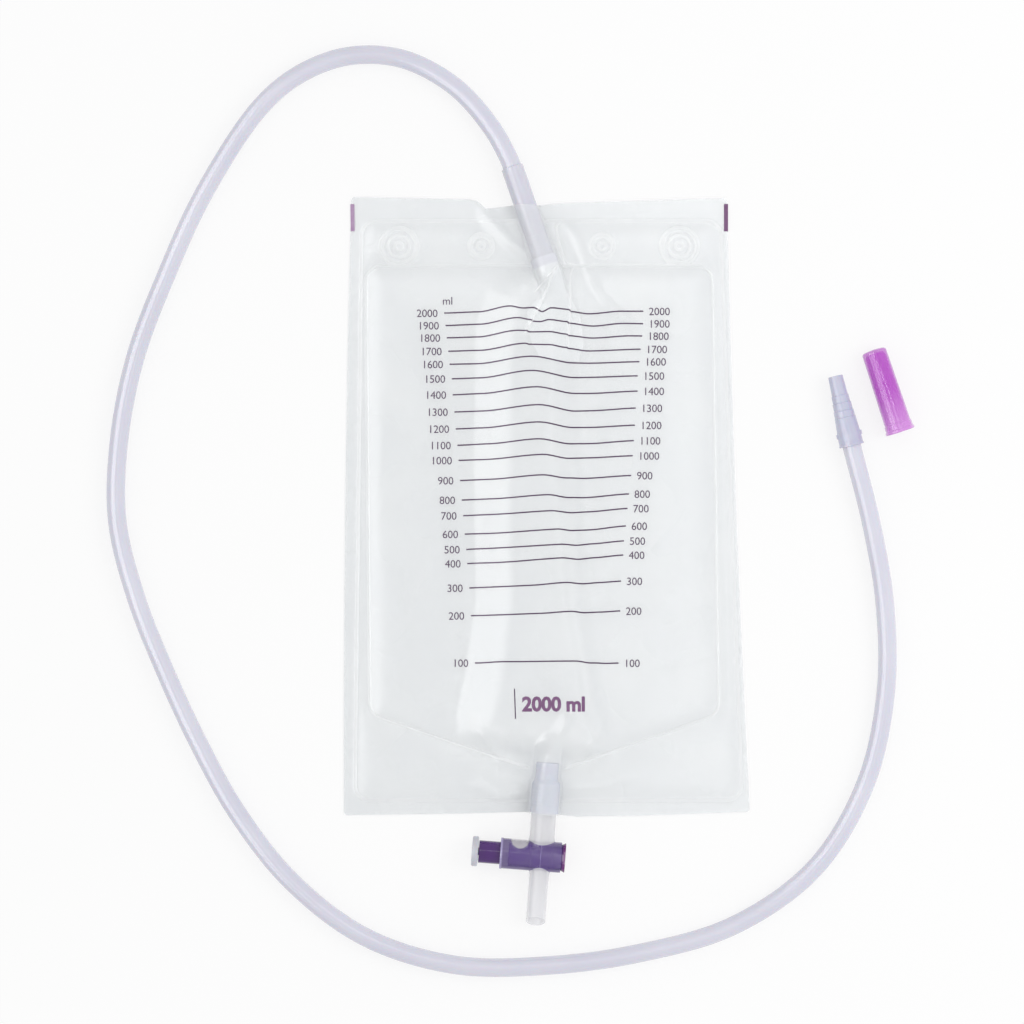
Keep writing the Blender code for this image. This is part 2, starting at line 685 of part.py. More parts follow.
def flap_centre(along):
    """Return the valve's centre line and its direction, at a distance past its upper edge."""
    straight = 2 * FLAP_OVERLAP
    start = INLET_FOOT - INLET_DIRECTION * FLAP_OVERLAP
    if along <= straight:
        return start + INLET_DIRECTION * along, INLET_DIRECTION
    bend = start + INLET_DIRECTION * straight
    lean = INLET_LEAN * max(1 - (along - straight) / FLAP_FADE, -FLAP_COUNTER_LEAN)
    mean_lean = (INLET_LEAN + lean) / 2
    direction = Vector((math.sin(mean_lean), -math.cos(mean_lean)))
    return bend + direction * (along - straight), Vector((math.sin(lean), -math.cos(lean)))


def flap_half_width(along):
    """Return the flap's half width, which widens below its neck and rounds off at its foot."""
    neck = tent_reach(INLET_SLEEVE_DIAMETER / 2 + TENT_CLEARANCE, INLET_AXIS_Z) - FLAP_NECK_INSET
    widen = smoothstep((along - FLAP_NECK_LENGTH) / FLAP_FADE)
    width = neck + (FLAP_HALF_WIDTH - neck) * widen
    foot = (along / FLAP_LENGTH - FLAP_FOOT_START) / (1 - FLAP_FOOT_START)
    return width * (1 - FLAP_FOOT_NARROWING * smoothstep(foot))


def flap_underside(along, side):
    """Return the front flap's underside: round the sleeve at its neck, flat at its foot."""
    radius = INLET_SLEEVE_DIAMETER / 2 + TENT_CLEARANCE
    resting = BASE_UNDERSIDE + FLAP_THICKNESS + SEAT_GAP
    past = max(along - FLAP_OVERLAP, 0.0) / FLAP_FADE
    rise = (tent_height(side, radius, INLET_AXIS_Z) - BASE_UNDERSIDE) * math.exp(-past * past)
    return resting + max(rise - (resting - BASE_UNDERSIDE), 0.0)


def build_valve_flap(name, start, underside, material):
    """Build one film of the valve, from a distance along it down to its foot."""
    bm = bmesh.new()
    rows = []
    for row in range(FLAP_ROWS + 1):
        along = start + (FLAP_LENGTH - start) * row / FLAP_ROWS
        centre, direction = flap_centre(along)
        across = Vector((-direction.y, direction.x))
        verts = []
        for share in FLAP_COLUMNS:
            side = share * flap_half_width(along)
            point = centre + across * side
            verts.append(bm.verts.new((point.x, point.y, underside(along, side))))
        rows.append(verts)
    for upper, lower in zip(rows, rows[1:]):
        for column in range(len(FLAP_COLUMNS) - 1):
            bm.faces.new((upper[column], upper[column + 1], lower[column + 1]))
            bm.faces.new((upper[column], lower[column + 1], lower[column]))
    thicken(bm, FLAP_THICKNESS)
    return add_object(name, bm, material)


def build_valve_flaps(material):
    """Build the two films of the non-return valve that hang from the inlet sleeve's foot."""
    clear_of_sleeve = FLAP_OVERLAP + SEAT_GAP + FLAP_THICKNESS
    build_valve_flap("valve_front_flap", 0.0, flap_underside, material)
    build_valve_flap("valve_back_flap", clear_of_sleeve, lambda along, side: BASE_UNDERSIDE, material)


def build_inlet_sleeve(material):
    """Build the soft sleeve that takes the drainage tube."""
    outer = INLET_SLEEVE_DIAMETER / 2
    inner = TUBE_DIAMETER / 2 + TUBE_FIT
    edge = (outer - inner) / 3
    length = INLET_SLEEVE_LENGTH
    profile = [(0, inner), (0, outer - edge), (edge, outer), (length, outer), (length, inner)]
    sleeve = turned("inlet_sleeve", profile, material, closed=True)
    sleeve.location = (INLET_MOUTH.x, INLET_MOUTH.y, INLET_AXIS_Z)
    sleeve.rotation_euler = (0.0, 0.0, math.pi + INLET_LEAN)
    return sleeve


def tube_points():
    """Return the points of the drainage tube, from inside the sleeve to inside the connector."""
    def on_sleeve(distance):
        place = INLET_MOUTH + INLET_DIRECTION * distance
        return Vector((place.x, place.y, INLET_AXIS_Z))

    base = Vector((*CONNECTOR_PLACE, CONNECTOR_BASE_DIAMETER / 2))
    lead = Vector((-math.sin(CONNECTOR_LEAN), math.cos(CONNECTOR_LEAN), 0.0))
    inside = [on_sleeve(TUBE_INSERTION), on_sleeve(TUBE_INSERTION / 2)]
    route = [on_sleeve(0.0), on_sleeve(-TUBE_LEAD_OUT)]
    drop = INLET_AXIS_Z - TUBE_REST_HEIGHT
    rise = base.z - TUBE_REST_HEIGHT
    last = len(TUBE_ROUTE) - 1
    for index, (x, y) in enumerate(TUBE_ROUTE):
        height = TUBE_REST_HEIGHT
        height += drop * TUBE_LIFT_AT_SLEEVE * max(1 - index / TUBE_LIFT_POINTS, 0.0)
        height += rise * TUBE_LIFT_AT_CONNECTOR * max(1 - (last - index) / TUBE_LIFT_POINTS, 0.0)
        route.append(Vector((x, y, height)))
    route += [base - lead * TUBE_LEAD_OUT, base]
    seated = base + lead * (CONNECTOR_SOCKET_DEPTH - SEAT_GAP)
    return inside + catmull_rom(route, TUBE_POINT_STEP) + [seated]


def build_drainage_tube(material):
    """Build the drainage tube as a beveled curve along its route."""
    points = tube_points()
    curve = bpy.data.curves.new("drainage_tube", "CURVE")
    curve.dimensions = "3D"
    curve.bevel_depth = TUBE_DIAMETER / 2
    curve.bevel_resolution = TUBE_BEVEL_RESOLUTION
    curve.use_fill_caps = True
    spline = curve.splines.new("POLY")
    spline.points.add(len(points) - 1)
    for spot, point in zip(spline.points, points):
        spot.co = (*point, 1.0)
    curve.materials.append(material)
    tube = bpy.data.objects.new("drainage_tube", curve)
    bpy.context.scene.collection.objects.link(tube)
    return tube


def build_step_connector(material):
    """Build the tapered connector with its steps, its collar and its tube socket."""
    base = CONNECTOR_BASE_DIAMETER / 2
    edge = CONNECTOR_EDGE
    step = CONNECTOR_STEP_DEPTH
    outside = [(along, diameter / 2) for along, diameter in CONNECTOR_TAPER]
    profile = [(0.0, base - edge), (edge, base), *outside[1:5]]
    for along in CONNECTOR_STEPS:
        share = (along - outside[4][0]) / (outside[5][0] - outside[4][0])
        radius = outside[4][1] + (outside[5][1] - outside[4][1]) * share
        profile.append((along, radius + step / 2))
        profile.append((along + step / 2, radius - step / 2))
    tip = CONNECTOR_TIP_DIAMETER / 2
    profile += [(CONNECTOR_LENGTH - edge, tip), (CONNECTOR_LENGTH, tip - edge)]
    bore = CONNECTOR_BORE / 2
    socket = TUBE_DIAMETER / 2 + TUBE_FIT
    profile += [(CONNECTOR_LENGTH, bore), (CONNECTOR_SOCKET_DEPTH, bore)]
    profile += [(CONNECTOR_SOCKET_DEPTH, socket), (0.0, socket)]
    connector = turned("step_connector", profile, material, closed=True)
    connector.location = (*CONNECTOR_PLACE, base)
    connector.rotation_euler = (0.0, 0.0, CONNECTOR_LEAN)
    wide, long, high = LUG_SIZE
    for side in (-1, 1):
        bm = bmesh.new()
        bmesh.ops.create_cube(bm, size=1.0)
        bmesh.ops.scale(bm, verts=bm.verts, vec=(high * 2, long, wide))
        centre = side * (outside[3][1])
        bmesh.ops.translate(bm, verts=bm.verts, vec=(centre, LUG_PLACE, 0.0))
        lug = cutter_from(bm, f"connector_lug_{'left' if side < 0 else 'right'}")
        lug.parent = connector
        add_boolean(connector, lug, "UNION")
    return connector


def build_connector_cap(material):
    """Build the protective cap, which rests on its flange and on its closed end."""
    mouth = CAP_MOUTH_DIAMETER / 2
    end = CAP_END_DIAMETER / 2
    flange = CAP_FLANGE_DIAMETER / 2
    rim = CAP_FLANGE_THICKNESS

    def outer(along):
        return mouth + (end - mouth) * along / CAP_LENGTH

    round_start = CAP_LENGTH - CAP_END_ROUND
    body_drop = CAP_STEP_DEPTH / 2
    inner_end = CAP_LENGTH - 1.5 * CAP_WALL
    profile = [(inner_end, 0.0), (inner_end - CAP_WALL, end - 2 * CAP_WALL)]
    profile.append((round_start - 2 * CAP_WALL, end - CAP_WALL - body_drop))
    profile += [(CAP_STEP_PLACE, mouth - CAP_WALL - body_drop), (0.0, mouth - CAP_WALL)]
    profile += [(0.0, flange - rim / 4), (rim / 4, flange), (rim, flange)]
    profile += [(rim * 1.4, outer(rim)), (CAP_STEP_PLACE, outer(CAP_STEP_PLACE))]
    profile.append((CAP_STEP_PLACE + CAP_STEP_DEPTH, outer(CAP_STEP_PLACE) - CAP_STEP_DEPTH))
    profile.append((round_start, outer(round_start) - body_drop))
    for step in range(1, 5):
        turn = math.pi / 2 * step / 5
        radius = outer(round_start) - body_drop - CAP_END_ROUND * (1 - math.cos(turn))
        profile.append((round_start + CAP_END_ROUND * 0.8 * math.sin(turn), radius))
    profile.append((CAP_LENGTH, 0.0))
    cap = turned("connector_cap", profile, material)
    tilt = math.asin((flange - outer(round_start) + body_drop) / round_start)
    heading = Matrix.Rotation(CAP_LEAN, 3, "Z") @ Matrix.Rotation(-tilt, 3, "X")
    cap.rotation_euler = heading.to_euler()
    cap.location = (*CAP_PLACE, flange * math.cos(tilt) + rim * math.sin(tilt))
    return cap


def add_tap_frame():
    """Return the empty at the crossing of the tap's barrel and spout."""
    frame = bpy.data.objects.new("tap_frame", None)
    frame.location = (TAP_CENTRE.x, TAP_CENTRE.y, TAP_AXIS_Z)
    frame.rotation_euler = (0.0, 0.0, -TAP_LEAN)
    bpy.context.scene.collection.objects.link(frame)
    return frame


def build_outlet_sleeve(frame, material):
    """Build the soft outlet sleeve, stretched where the spigot fills it."""
    inner = SPIGOT_DIAMETER / 2 + SLEEVE_FIT
    outer = inner + SLEEVE_WALL
    neck = OUTLET_NECK_DIAMETER / 2
    foot = TAP_DROP
    stretched = foot + SPIGOT_INSERTION + SEAT_GAP
    top = foot + OUTLET_SLEEVE_LENGTH
    profile = [(foot, inner), (foot, outer), (stretched, outer), (stretched + OUTLET_TAPER, neck)]
    profile += [(top, neck), (top, neck - SLEEVE_WALL)]
    profile += [(stretched + OUTLET_TAPER, neck - SLEEVE_WALL), (stretched, inner)]
    sleeve = turned("outlet_sleeve", profile, material, closed=True)
    sleeve.parent = frame
    return sleeve


def cross_turned(profile, sides=TURNED_SIDES):
    """Return a lathe bmesh whose axis is the barrel's, along local X."""
    bm = lathe(profile, sides)
    bmesh.ops.rotate(bm, verts=bm.verts, matrix=Matrix.Rotation(-math.pi / 2, 3, "Z"))
    return bm


def bore_cutter(start, end, diameter):
    """Return a round cutter along local Y, turned a little so that it shares no edge line."""
    radius = diameter / 2
    bm = lathe([(start, 0.0), (start, radius), (end, radius), (end, 0.0)], BORE_SIDES)
    bmesh.ops.rotate(bm, verts=bm.verts, matrix=Matrix.Rotation(BORE_TURN, 3, "Y"))
    return bm


def build_tap_body(frame, material):
    """Build the tap's one moulding: spigot and spout across a bored barrel."""
    radius = BARREL_DIAMETER / 2
    lip = radius - BARREL_LIP_HEIGHT
    left = -BARREL_LEFT
    right = BARREL_RIGHT
    barrel = [(left, 0.0), (left, radius - 0.5 * BARREL_LIP_HEIGHT),
              (left + BARREL_LIP_HEIGHT, radius), (left + BARREL_LIP, radius),
              (left + BARREL_LIP + BARREL_LIP_HEIGHT, lip), (right - BARREL_LIP_HEIGHT, lip),
              (right, lip - BARREL_LIP_HEIGHT), (right, 0.0)]
    body = add_object("tap_body", cross_turned(barrel), material)
    body.parent = frame
    spigot = SPIGOT_DIAMETER / 2
    spigot_top = TAP_DROP + SPIGOT_INSERTION
    saddle = math.sqrt(lip * lip - spigot * spigot)
    stem = [(-lip / 9, 0.0), (-lip / 9, spigot + SADDLE_SPREAD), (saddle, spigot + SADDLE_SPREAD),
            (lip, spigot + SADDLE_SPREAD * 0.4), (lip + SADDLE_RISE, spigot),
            (spigot_top - 2 * SPIGOT_CHAMFER, spigot), (spigot_top, spigot - SPIGOT_CHAMFER),
            (spigot_top, 0.0)]
    spout = SPOUT_DIAMETER / 2
    end = -SPOUT_LENGTH
    nozzle = [(end - SPOUT_TRIM, 0.0), (end - SPOUT_TRIM, spout), (-lip - SADDLE_RISE, spout),
              (-lip, spout + SADDLE_SPREAD * 0.4), (-saddle, spout + SADDLE_SPREAD),
              (lip / 8, spout + SADDLE_SPREAD), (lip / 8, 0.0)]
    slant = bmesh.new()
    bmesh.ops.create_cube(slant, size=BARREL_DIAMETER * 2)
    bmesh.ops.translate(slant, verts=slant.verts, vec=(0.0, -BARREL_DIAMETER, 0.0))
    bmesh.ops.rotate(slant, verts=slant.verts, matrix=Matrix.Rotation(-SPOUT_SLANT, 3, "X"))
    bmesh.ops.translate(slant, verts=slant.verts, vec=(0.0, end, -spout))
    barrel_bore = BORE_DIAMETER / 2
    tools = (
        ("spigot_stem", lathe(stem), "UNION"),
        ("spout_stem", lathe(nozzle), "UNION"),
        ("barrel_bore", cross_turned([(left - radius, 0.0), (left - radius, barrel_bore),
                                      (right + radius, barrel_bore), (right + radius, 0.0)]),
         "DIFFERENCE"),
        ("spigot_bore", bore_cutter(0.0, spigot_top + spigot, SPIGOT_BORE), "DIFFERENCE"),
        ("spout_bore", bore_cutter(end - spout, 0.0, SPOUT_BORE), "DIFFERENCE"),
        ("spout_slant", slant, "DIFFERENCE"),
    )
    for name, bm, operation in tools:
        tool = cutter_from(bm, name)
        tool.parent = frame
        add_boolean(body, tool, operation)
    return body


def build_plunger(frame, material):
    """Build the sliding plunger, with its cross hole, seal ribs and flared stop.

    Its own origin is at the middle of its cross hole, on the barrel's axis.
    """
    radius = PISTON_DIAMETER / 2
    shaft = PLUNGER_DIAMETER / 2
    rib = radius + SEAL_RIB_HEIGHT
    disc_face = -BARREL_LEFT
    barrel_end = TRAVEL + BARREL_RIGHT
    flare_end = barrel_end + SEAT_GAP + PLUNGER_FLARE_LENGTH
    flare = PLUNGER_FLARE_DIAMETER / 2
    side_of_hole = CROSS_HOLE_DIAMETER / 2 + SEAL_RIB_WIDTH * 1.5
    profile = [(disc_face, 0.0), (disc_face, shaft), (-PISTON_START, shaft),
               (-PISTON_START + PISTON_CHAMFER, radius)]
    for place in (-side_of_hole, side_of_hole, TRAVEL + side_of_hole):
        half = SEAL_RIB_WIDTH / 2
        profile += [(place - half, radius), (place - half / 2, rib),
                    (place + half / 2, rib), (place + half, radius)]
    profile += [(barrel_end, radius), (flare_end, flare), (flare_end, flare - FLARE_RIM),
                (barrel_end, radius - FLARE_RIM), (barrel_end, 0.0)]
    plunger = add_object("tap_plunger", cross_turned(profile), material)
    plunger.parent = frame
    plunger.location = (-TRAVEL, 0.0, 0.0)
    hole = bore_cutter(-2 * radius, 2 * radius, CROSS_HOLE_DIAMETER)
    socket_end = disc_face + STUD_LENGTH + SEAT_GAP
    socket_radius = STUD_DIAMETER / 2 + SEAT_GAP
    socket = cross_turned([(disc_face - radius, 0.0), (disc_face - radius, socket_radius),
                           (socket_end, socket_radius), (socket_end, 0.0)], 16)
    tools = [("cross_hole", hole), ("stud_socket", socket)]
    for name, side, (half_width, depth) in zip(
            ("port_scoop_top", "port_scoop_foot"), (1, -1), PORT_SCOOPS):
        tools.append((name, scoop_cutter(side * radius, half_width, depth, 2 * radius)))
    for name, bm in tools:
        tool = cutter_from(bm, name)
        tool.parent = plunger
        add_boolean(plunger, tool, "DIFFERENCE")
    return disc_face


def scoop_cutter(edge, half_width, depth, half_height):
    """Return an upright elliptical cutter that bites into the plunger's side round its port."""
    bm = bmesh.new()
    bmesh.ops.create_cone(bm, cap_ends=True, segments=TURNED_SIDES, radius1=1.0, radius2=1.0,
                          depth=2 * half_height)
    bmesh.ops.scale(bm, verts=bm.verts, vec=(half_width, depth, 1.0))
    bmesh.ops.translate(bm, verts=bm.verts, vec=(0.0, edge, 0.0))
    return bm


def build_end_disc(frame, disc_face, material):
    """Build the pale thumb disc, held by its stud in the plunger's end."""
    outer = DISC_DIAMETER / 2
    face = disc_face - SEAT_GAP
    back = face - DISC_THICKNESS
    edge = DISC_ROUND
    stud = STUD_DIAMETER / 2
    profile = [(back, 0.0), (back, outer - edge), (back + edge * 0.3, outer - edge * 0.3),
               (back + edge, outer), (face - edge, outer), (face - edge * 0.3, outer - edge * 0.3),
               (face, outer - edge), (face, stud), (disc_face + STUD_LENGTH, stud),
               (disc_face + STUD_LENGTH, 0.0)]
    disc = add_object("plunger_end_disc", cross_turned(profile), material)
    disc.parent = frame
    disc.location = (-TRAVEL, 0.0, 0.0)
    return disc


def main():
    """Build every piece of the drainage bag."""
    clear_scene()
    film = make_material("clear_film", (0.80, 0.83, 0.84), 0.35, alpha=0.75)
    valve = make_material("valve_film", (0.82, 0.85, 0.86), 0.35, alpha=0.7)
    soft = make_material("soft_tube", (0.80, 0.80, 0.87), 0.3, alpha=0.9)
    sleeve = make_material("outlet_sleeve", (0.76, 0.78, 0.88), 0.3, alpha=0.9)
    connector = make_material("connector_plastic", (0.68, 0.70, 0.82), 0.3)
    cap = make_material("cap_magenta", (0.55, 0.12, 0.62), 0.2, alpha=0.85)
    milky = make_material("tap_milky", (0.78, 0.80, 0.82), 0.3, alpha=0.6)
    purple = make_material("plunger_purple", (0.09, 0.02, 0.24), 0.25)
    white = make_material("disc_white", (0.74, 0.80, 0.83), 0.4)

    build_back_film(film)
    build_front_film(film)
    build_valve_flaps(valve)
    build_inlet_sleeve(soft)
    build_drainage_tube(soft)
    build_step_connector(connector)
    build_connector_cap(cap)
    frame = add_tap_frame()
    build_outlet_sleeve(frame, sleeve)
    build_tap_body(frame, milky)
    disc_face = build_plunger(frame, purple)
    build_end_disc(frame, disc_face, white)
    bpy.context.view_layer.update()


main()
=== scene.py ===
"""Looks of a urine drainage bag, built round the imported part.

The bag lies flat with its tube looped round it. Everything is in metres, in the part's own
frame: +X right and +Y up as the bag is seen from above, +Z up from the table.
"""

import logging
import math
from dataclasses import dataclass, field, replace
from enum import Enum, IntEnum

import bmesh
import bpy
import numpy as np
from mathutils import Matrix, Vector, noise
from mathutils.bvhtree import BVHTree
from mathutils.geometry import delaunay_2d_cdt


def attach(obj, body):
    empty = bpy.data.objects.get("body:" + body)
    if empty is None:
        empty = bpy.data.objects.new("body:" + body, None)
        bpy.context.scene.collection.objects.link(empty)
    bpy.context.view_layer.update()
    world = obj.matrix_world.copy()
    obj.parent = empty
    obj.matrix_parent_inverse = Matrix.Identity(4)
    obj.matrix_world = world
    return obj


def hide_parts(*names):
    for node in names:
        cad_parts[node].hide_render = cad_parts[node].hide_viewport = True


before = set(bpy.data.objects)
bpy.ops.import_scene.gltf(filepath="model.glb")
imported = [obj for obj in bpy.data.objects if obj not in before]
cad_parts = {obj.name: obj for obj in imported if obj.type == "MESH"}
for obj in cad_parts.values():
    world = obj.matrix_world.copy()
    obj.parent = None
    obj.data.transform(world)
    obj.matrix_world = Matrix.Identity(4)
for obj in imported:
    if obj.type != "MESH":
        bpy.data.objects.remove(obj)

LOG = logging.getLogger("drainage_bag")

FILM_CREASE = 50.0
SLEEVE_CREASE = 40.0
INK_CREASE = 30.0
MOULDING_CREASE = 30.0

SLEEVE_SIDES = 56
GROOVE_BOTTOM, GROOVE_END = 0.3, 0.6
WELD_DISTANCE = 0.000002
JOIN_DISTANCE = 0.00001
CUT_TO_OUTLINE = 1
LEAST_UPWARD = 0.8
TINY = 1e-12

NOISE_LOW, NOISE_HIGH = 0.3, 0.7
MIX_FIRST, MIX_SECOND, MIX_RESULT = 6, 7, 2

Socket = bpy.types.NodeSocket
Value = float | tuple[float, ...] | Socket
Colour = tuple[float, float, float]
Place = tuple[float, float, float]
Span = tuple[float, float]
Points = list[tuple[float, float]]
Faces = list[tuple[int, ...]]
Shape = tuple[list[Place], Faces]


class Body(Enum):
    """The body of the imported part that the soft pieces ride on."""

    BAG = "bag"


class Slot(Enum):
    """Material slot names for the soft pieces, which add_piece does not use."""

    FILM = "clear_film"
    VALVE = "valve_film"
    TUBE = "soft_tube"
    OUTLET = "outlet_sleeve"


class Skin(IntEnum):
    """What the front film is like at a place, in the order of its materials."""

    CLEAR = 0
    FUSED = 1
    # Crests of the crisp creases: the film there has a painted highlight, whiter and more opaque.
    CREASED = 2
    CLINGING = 3


class NodeGraph:
    """A material's node tree with short calls for the nodes that the finishes share."""

    def __init__(self, name: str) -> None:
        """Start a material with one Principled shader.

        Args:
            name: The material's name.
        """
        self.material = bpy.data.materials.new(name)
        self.material.use_nodes = True
        self.tree = self.material.node_tree
        self.shader = self.tree.nodes["Principled BSDF"]
        self.place = self.tree.nodes.new("ShaderNodeTexCoord").outputs["Object"]

    def set(self, socket: str, value: float) -> None:
        """Set one of the shader's own sockets."""
        self.shader.inputs[socket].default_value = value

    def link(self, output: Socket, target: Socket) -> None:
        """Link an output to an input."""
        self.tree.links.new(output, target)

    def feed(self, socket: str, output: Socket) -> None:
        """Link an output to one of the shader's own sockets."""
        self.link(output, self.shader.inputs[socket])

    def node(self, kind: str, inputs: dict[str | int, Value], **settings: str) -> bpy.types.Node:
        """Add a node.

        Args:
            kind: The node's type.
            inputs: What goes into each of its inputs: a value, or an output to link.
            **settings: The node's own settings.

        Returns:
            The node.
        """
        node = self.tree.nodes.new(kind)
        for name, setting in settings.items():
            setattr(node, name, setting)
        for name, value in inputs.items():
            if isinstance(value, Socket):
                self.link(value, node.inputs[name])
            else:
                node.inputs[name].default_value = value
        return node

    def stretched(self, scale: tuple[float, float, float]) -> Socket:
        """Return the object's coordinates, scaled along its axes."""
        inputs = {"Vector": self.place, "Scale": scale}
        return self.node("ShaderNodeMapping", inputs).outputs["Vector"]

    def grain(self, scale: float, detail: float = 3.0, place: Socket | None = None) -> Socket:
        """Return a noise value.

        Args:
            scale: The noise's scale, in waves a metre.
            detail: Its detail.
            place: The coordinates to use instead of the object's own.

        Returns:
            The noise's factor.
        """
        inputs = {"Vector": place or self.place, "Scale": scale, "Detail": detail}
        return self.node("ShaderNodeTexNoise", inputs).outputs["Fac"]

    def spread(self, value: Socket, low: float, high: float) -> Socket:
        """Return a noise value spread over a range.

        Args:
            value: The noise's factor.
            low: The value at its low end.
            high: The value at its high end.

        Returns:
            The spread value.
        """
        inputs = {"Value": value, "From Min": NOISE_LOW, "From Max": NOISE_HIGH,
                  "To Min": low, "To Max": high}
        return self.node("ShaderNodeMapRange", inputs).outputs["Result"]

    def ramp(self, value: Socket, start: float, end: float) -> Socket:
        """Return a smooth step over a value's range.

        Args:
            value: The value.
            start: Where the step is still 0.
            end: Where it has come to 1.

        Returns:
            The step.
        """
        inputs = {"Value": value, "From Min": start, "From Max": end}
        node = self.node("ShaderNodeMapRange", inputs, interpolation_type="SMOOTHSTEP")
        return node.outputs["Result"]

    def calculate(self, operation: str, *values: Socket | float) -> Socket:
        """Work out a value from others, sockets or numbers, by a math node's operation."""
        node = self.node("ShaderNodeMath", dict(enumerate(values)), operation=operation)
        return node.outputs["Value"]

    def reach(self, one: Socket, other: Socket) -> Socket:
        """Return the length of the hypotenuse over two values."""
        square = self.calculate("MULTIPLY", other, other)
        return self.calculate("SQRT", self.calculate("MULTIPLY_ADD", one, one, square))

    def inverse(self, value: Socket) -> Socket:
        """Return what is left of 1 after a value."""
        return self.calculate("SUBTRACT", 1.0, value)

    def local_axes(self, origin: Place, turn: float) -> tuple[Socket, ...]:
        """Return coordinates in a frame of the object's own, turned round Z.

        Args:
            origin: The frame's origin in the object's coordinates.
            turn: Its turn round Z.

        Returns:
            The X, Y and Z in that frame.
        """
        inputs = {"Vector": self.place, "Location": origin, "Rotation": (0.0, 0.0, turn)}
        mapping = self.node("ShaderNodeMapping", inputs, vector_type="TEXTURE")
        split = self.node("ShaderNodeSeparateXYZ", {"Vector": mapping.outputs["Vector"]})
        return tuple(split.outputs)

    def blend(self, value: Socket, low: Colour | Socket, high: Colour | Socket) -> Socket:
        """Mix two colours by a value.

        Args:
            value: The share of the second colour.
            low: The first colour.
            high: The second colour.

        Returns:
            The mixed colour.
        """
        inputs = {"Factor": value}
        for index, colour in ((MIX_FIRST, low), (MIX_SECOND, high)):
            inputs[index] = colour if isinstance(colour, Socket) else (*colour, 1.0)
        return self.node("ShaderNodeMix", inputs, data_type="RGBA").outputs[MIX_RESULT]

    def mottle(self, scale: float, detail: float, low: Colour, high: Colour) -> Socket:
        """Return a colour that a noise varies between two tints.

        Args:
            scale: The noise's scale, in waves a metre.
            detail: Its detail.
            low: The tint at its low end.
            high: The tint at its high end.

        Returns:
            The mottled colour.
        """
        return self.blend(self.spread(self.grain(scale, detail), 0.0, 1.0), low, high)

    def bump(self, heights: list[tuple[Socket, float]]) -> None:
        """Bump the surface by several noises, one on top of the other.

        Args:
            heights: Each noise and its depth in metres.
        """
        below = {}
        for value, depth in heights:
            node = self.node("ShaderNodeBump", {"Height": value, "Distance": depth, **below})
            below = {"Normal": node.outputs["Normal"]}
        self.feed("Normal", below["Normal"])


@dataclass(frozen=True)
class Relief:
    """The sheen and the fine relief of a surface.

    The noises' scales are in waves a metre. The grain and the waves are each a scale and a
    depth in metres, and the coat is a weight and a roughness.
    """

    roughness: Span
    patch_scale: float
    grain: Span
    waves: Span | None = None
    wave_detail: float = 2.0
    stretch: tuple[float, float, float] | None = None
    coat: Span | None = None

    def apply(self, graph: NodeGraph) -> None:
        """Give a material this sheen and relief.

        Args:
            graph: The material's nodes.
        """
        graph.feed("Roughness", graph.spread(graph.grain(self.patch_scale), *self.roughness))
        heights = []
        if self.waves is not None:
            scale, depth = self.waves
            place = graph.stretched(self.stretch) if self.stretch else graph.place
            heights.append((graph.grain(scale, self.wave_detail, place), depth))
        scale, depth = self.grain
        graph.bump([*heights, (graph.grain(scale), depth)])
        if self.coat is not None:
            graph.set("Coat Weight", self.coat[0])
            graph.set("Coat Roughness", self.coat[1])


@dataclass(frozen=True)
class EvenFinish:
    """A finish that is the same all over its piece: a mottled colour, a sheen and a relief.

    The mottle is a noise's scale and detail, and the depth is the weight and the scale of the
    light that spreads under the surface.
    """

    name: str
    colour: Colour
    shade: Colour
    mottle: Span
    relief: Relief
    alpha: float = 1.0
    gloss: float = 0.5
    depth: Span | None = None

    def material(self) -> bpy.types.Material:
        """Build the material.

        Returns:
            The material.
        """
        graph = NodeGraph(self.name)
        graph.feed("Base Color", graph.mottle(*self.mottle, self.shade, self.colour))
        self.relief.apply(graph)
        graph.set("Alpha", self.alpha)
        graph.set("Specular IOR Level", self.gloss)
        if self.depth is not None:
            graph.set("Subsurface Weight", self.depth[0])
            graph.set("Subsurface Scale", self.depth[1])
        return graph.material


@dataclass(frozen=True)
class FilmFinish(EvenFinish):
    """Soft clear PVC film: pale, with a silky gloss and faint waves. Fused where it is welded."""

    mottle: Span = (28.0, 4.0)
    relief: Relief = Relief((0.22, 0.25), 61.6, grain=(1500.0, 0.000015),
                            waves=(95.0, 0.00012), stretch=(1.0, 0.45, 1.0))
    gloss: float = 1.0


@dataclass(frozen=True)
class VinylFinish(EvenFinish):
    """Soft vinyl of the tube and sleeves: milky, glossy and faintly streaked."""

    mottle: Span = (22.0, 2.0)
    relief: Relief = Relief((0.18, 0.25), 60.0, grain=(2600.0, 0.000006),
                            waves=(160.0, 0.00004), coat=(0.2, 0.12))
    depth: Span = (0.15, 0.003)


@dataclass(frozen=True)
class MouldedFinish(EvenFinish):
    """Injection-moulded plastic: an even colour, soft gloss and a fine mould grain."""

    mottle: Span = (70.0, 2.0)
    relief: Relief = Relief((0.30, 0.38), 210.0, grain=(3200.0, 0.00001),
                            waves=(280.0, 0.00003))
    depth: Span = (0.2, 0.002)


@dataclass(frozen=True)
class InkFinish(EvenFinish):
    """Printing ink on film: thin, even and a little patchy."""

    mottle: Span = (420.0, 3.0)
    relief: Relief = Relief((0.42, 0.55), 900.0, grain=(2500.0, 0.000008))


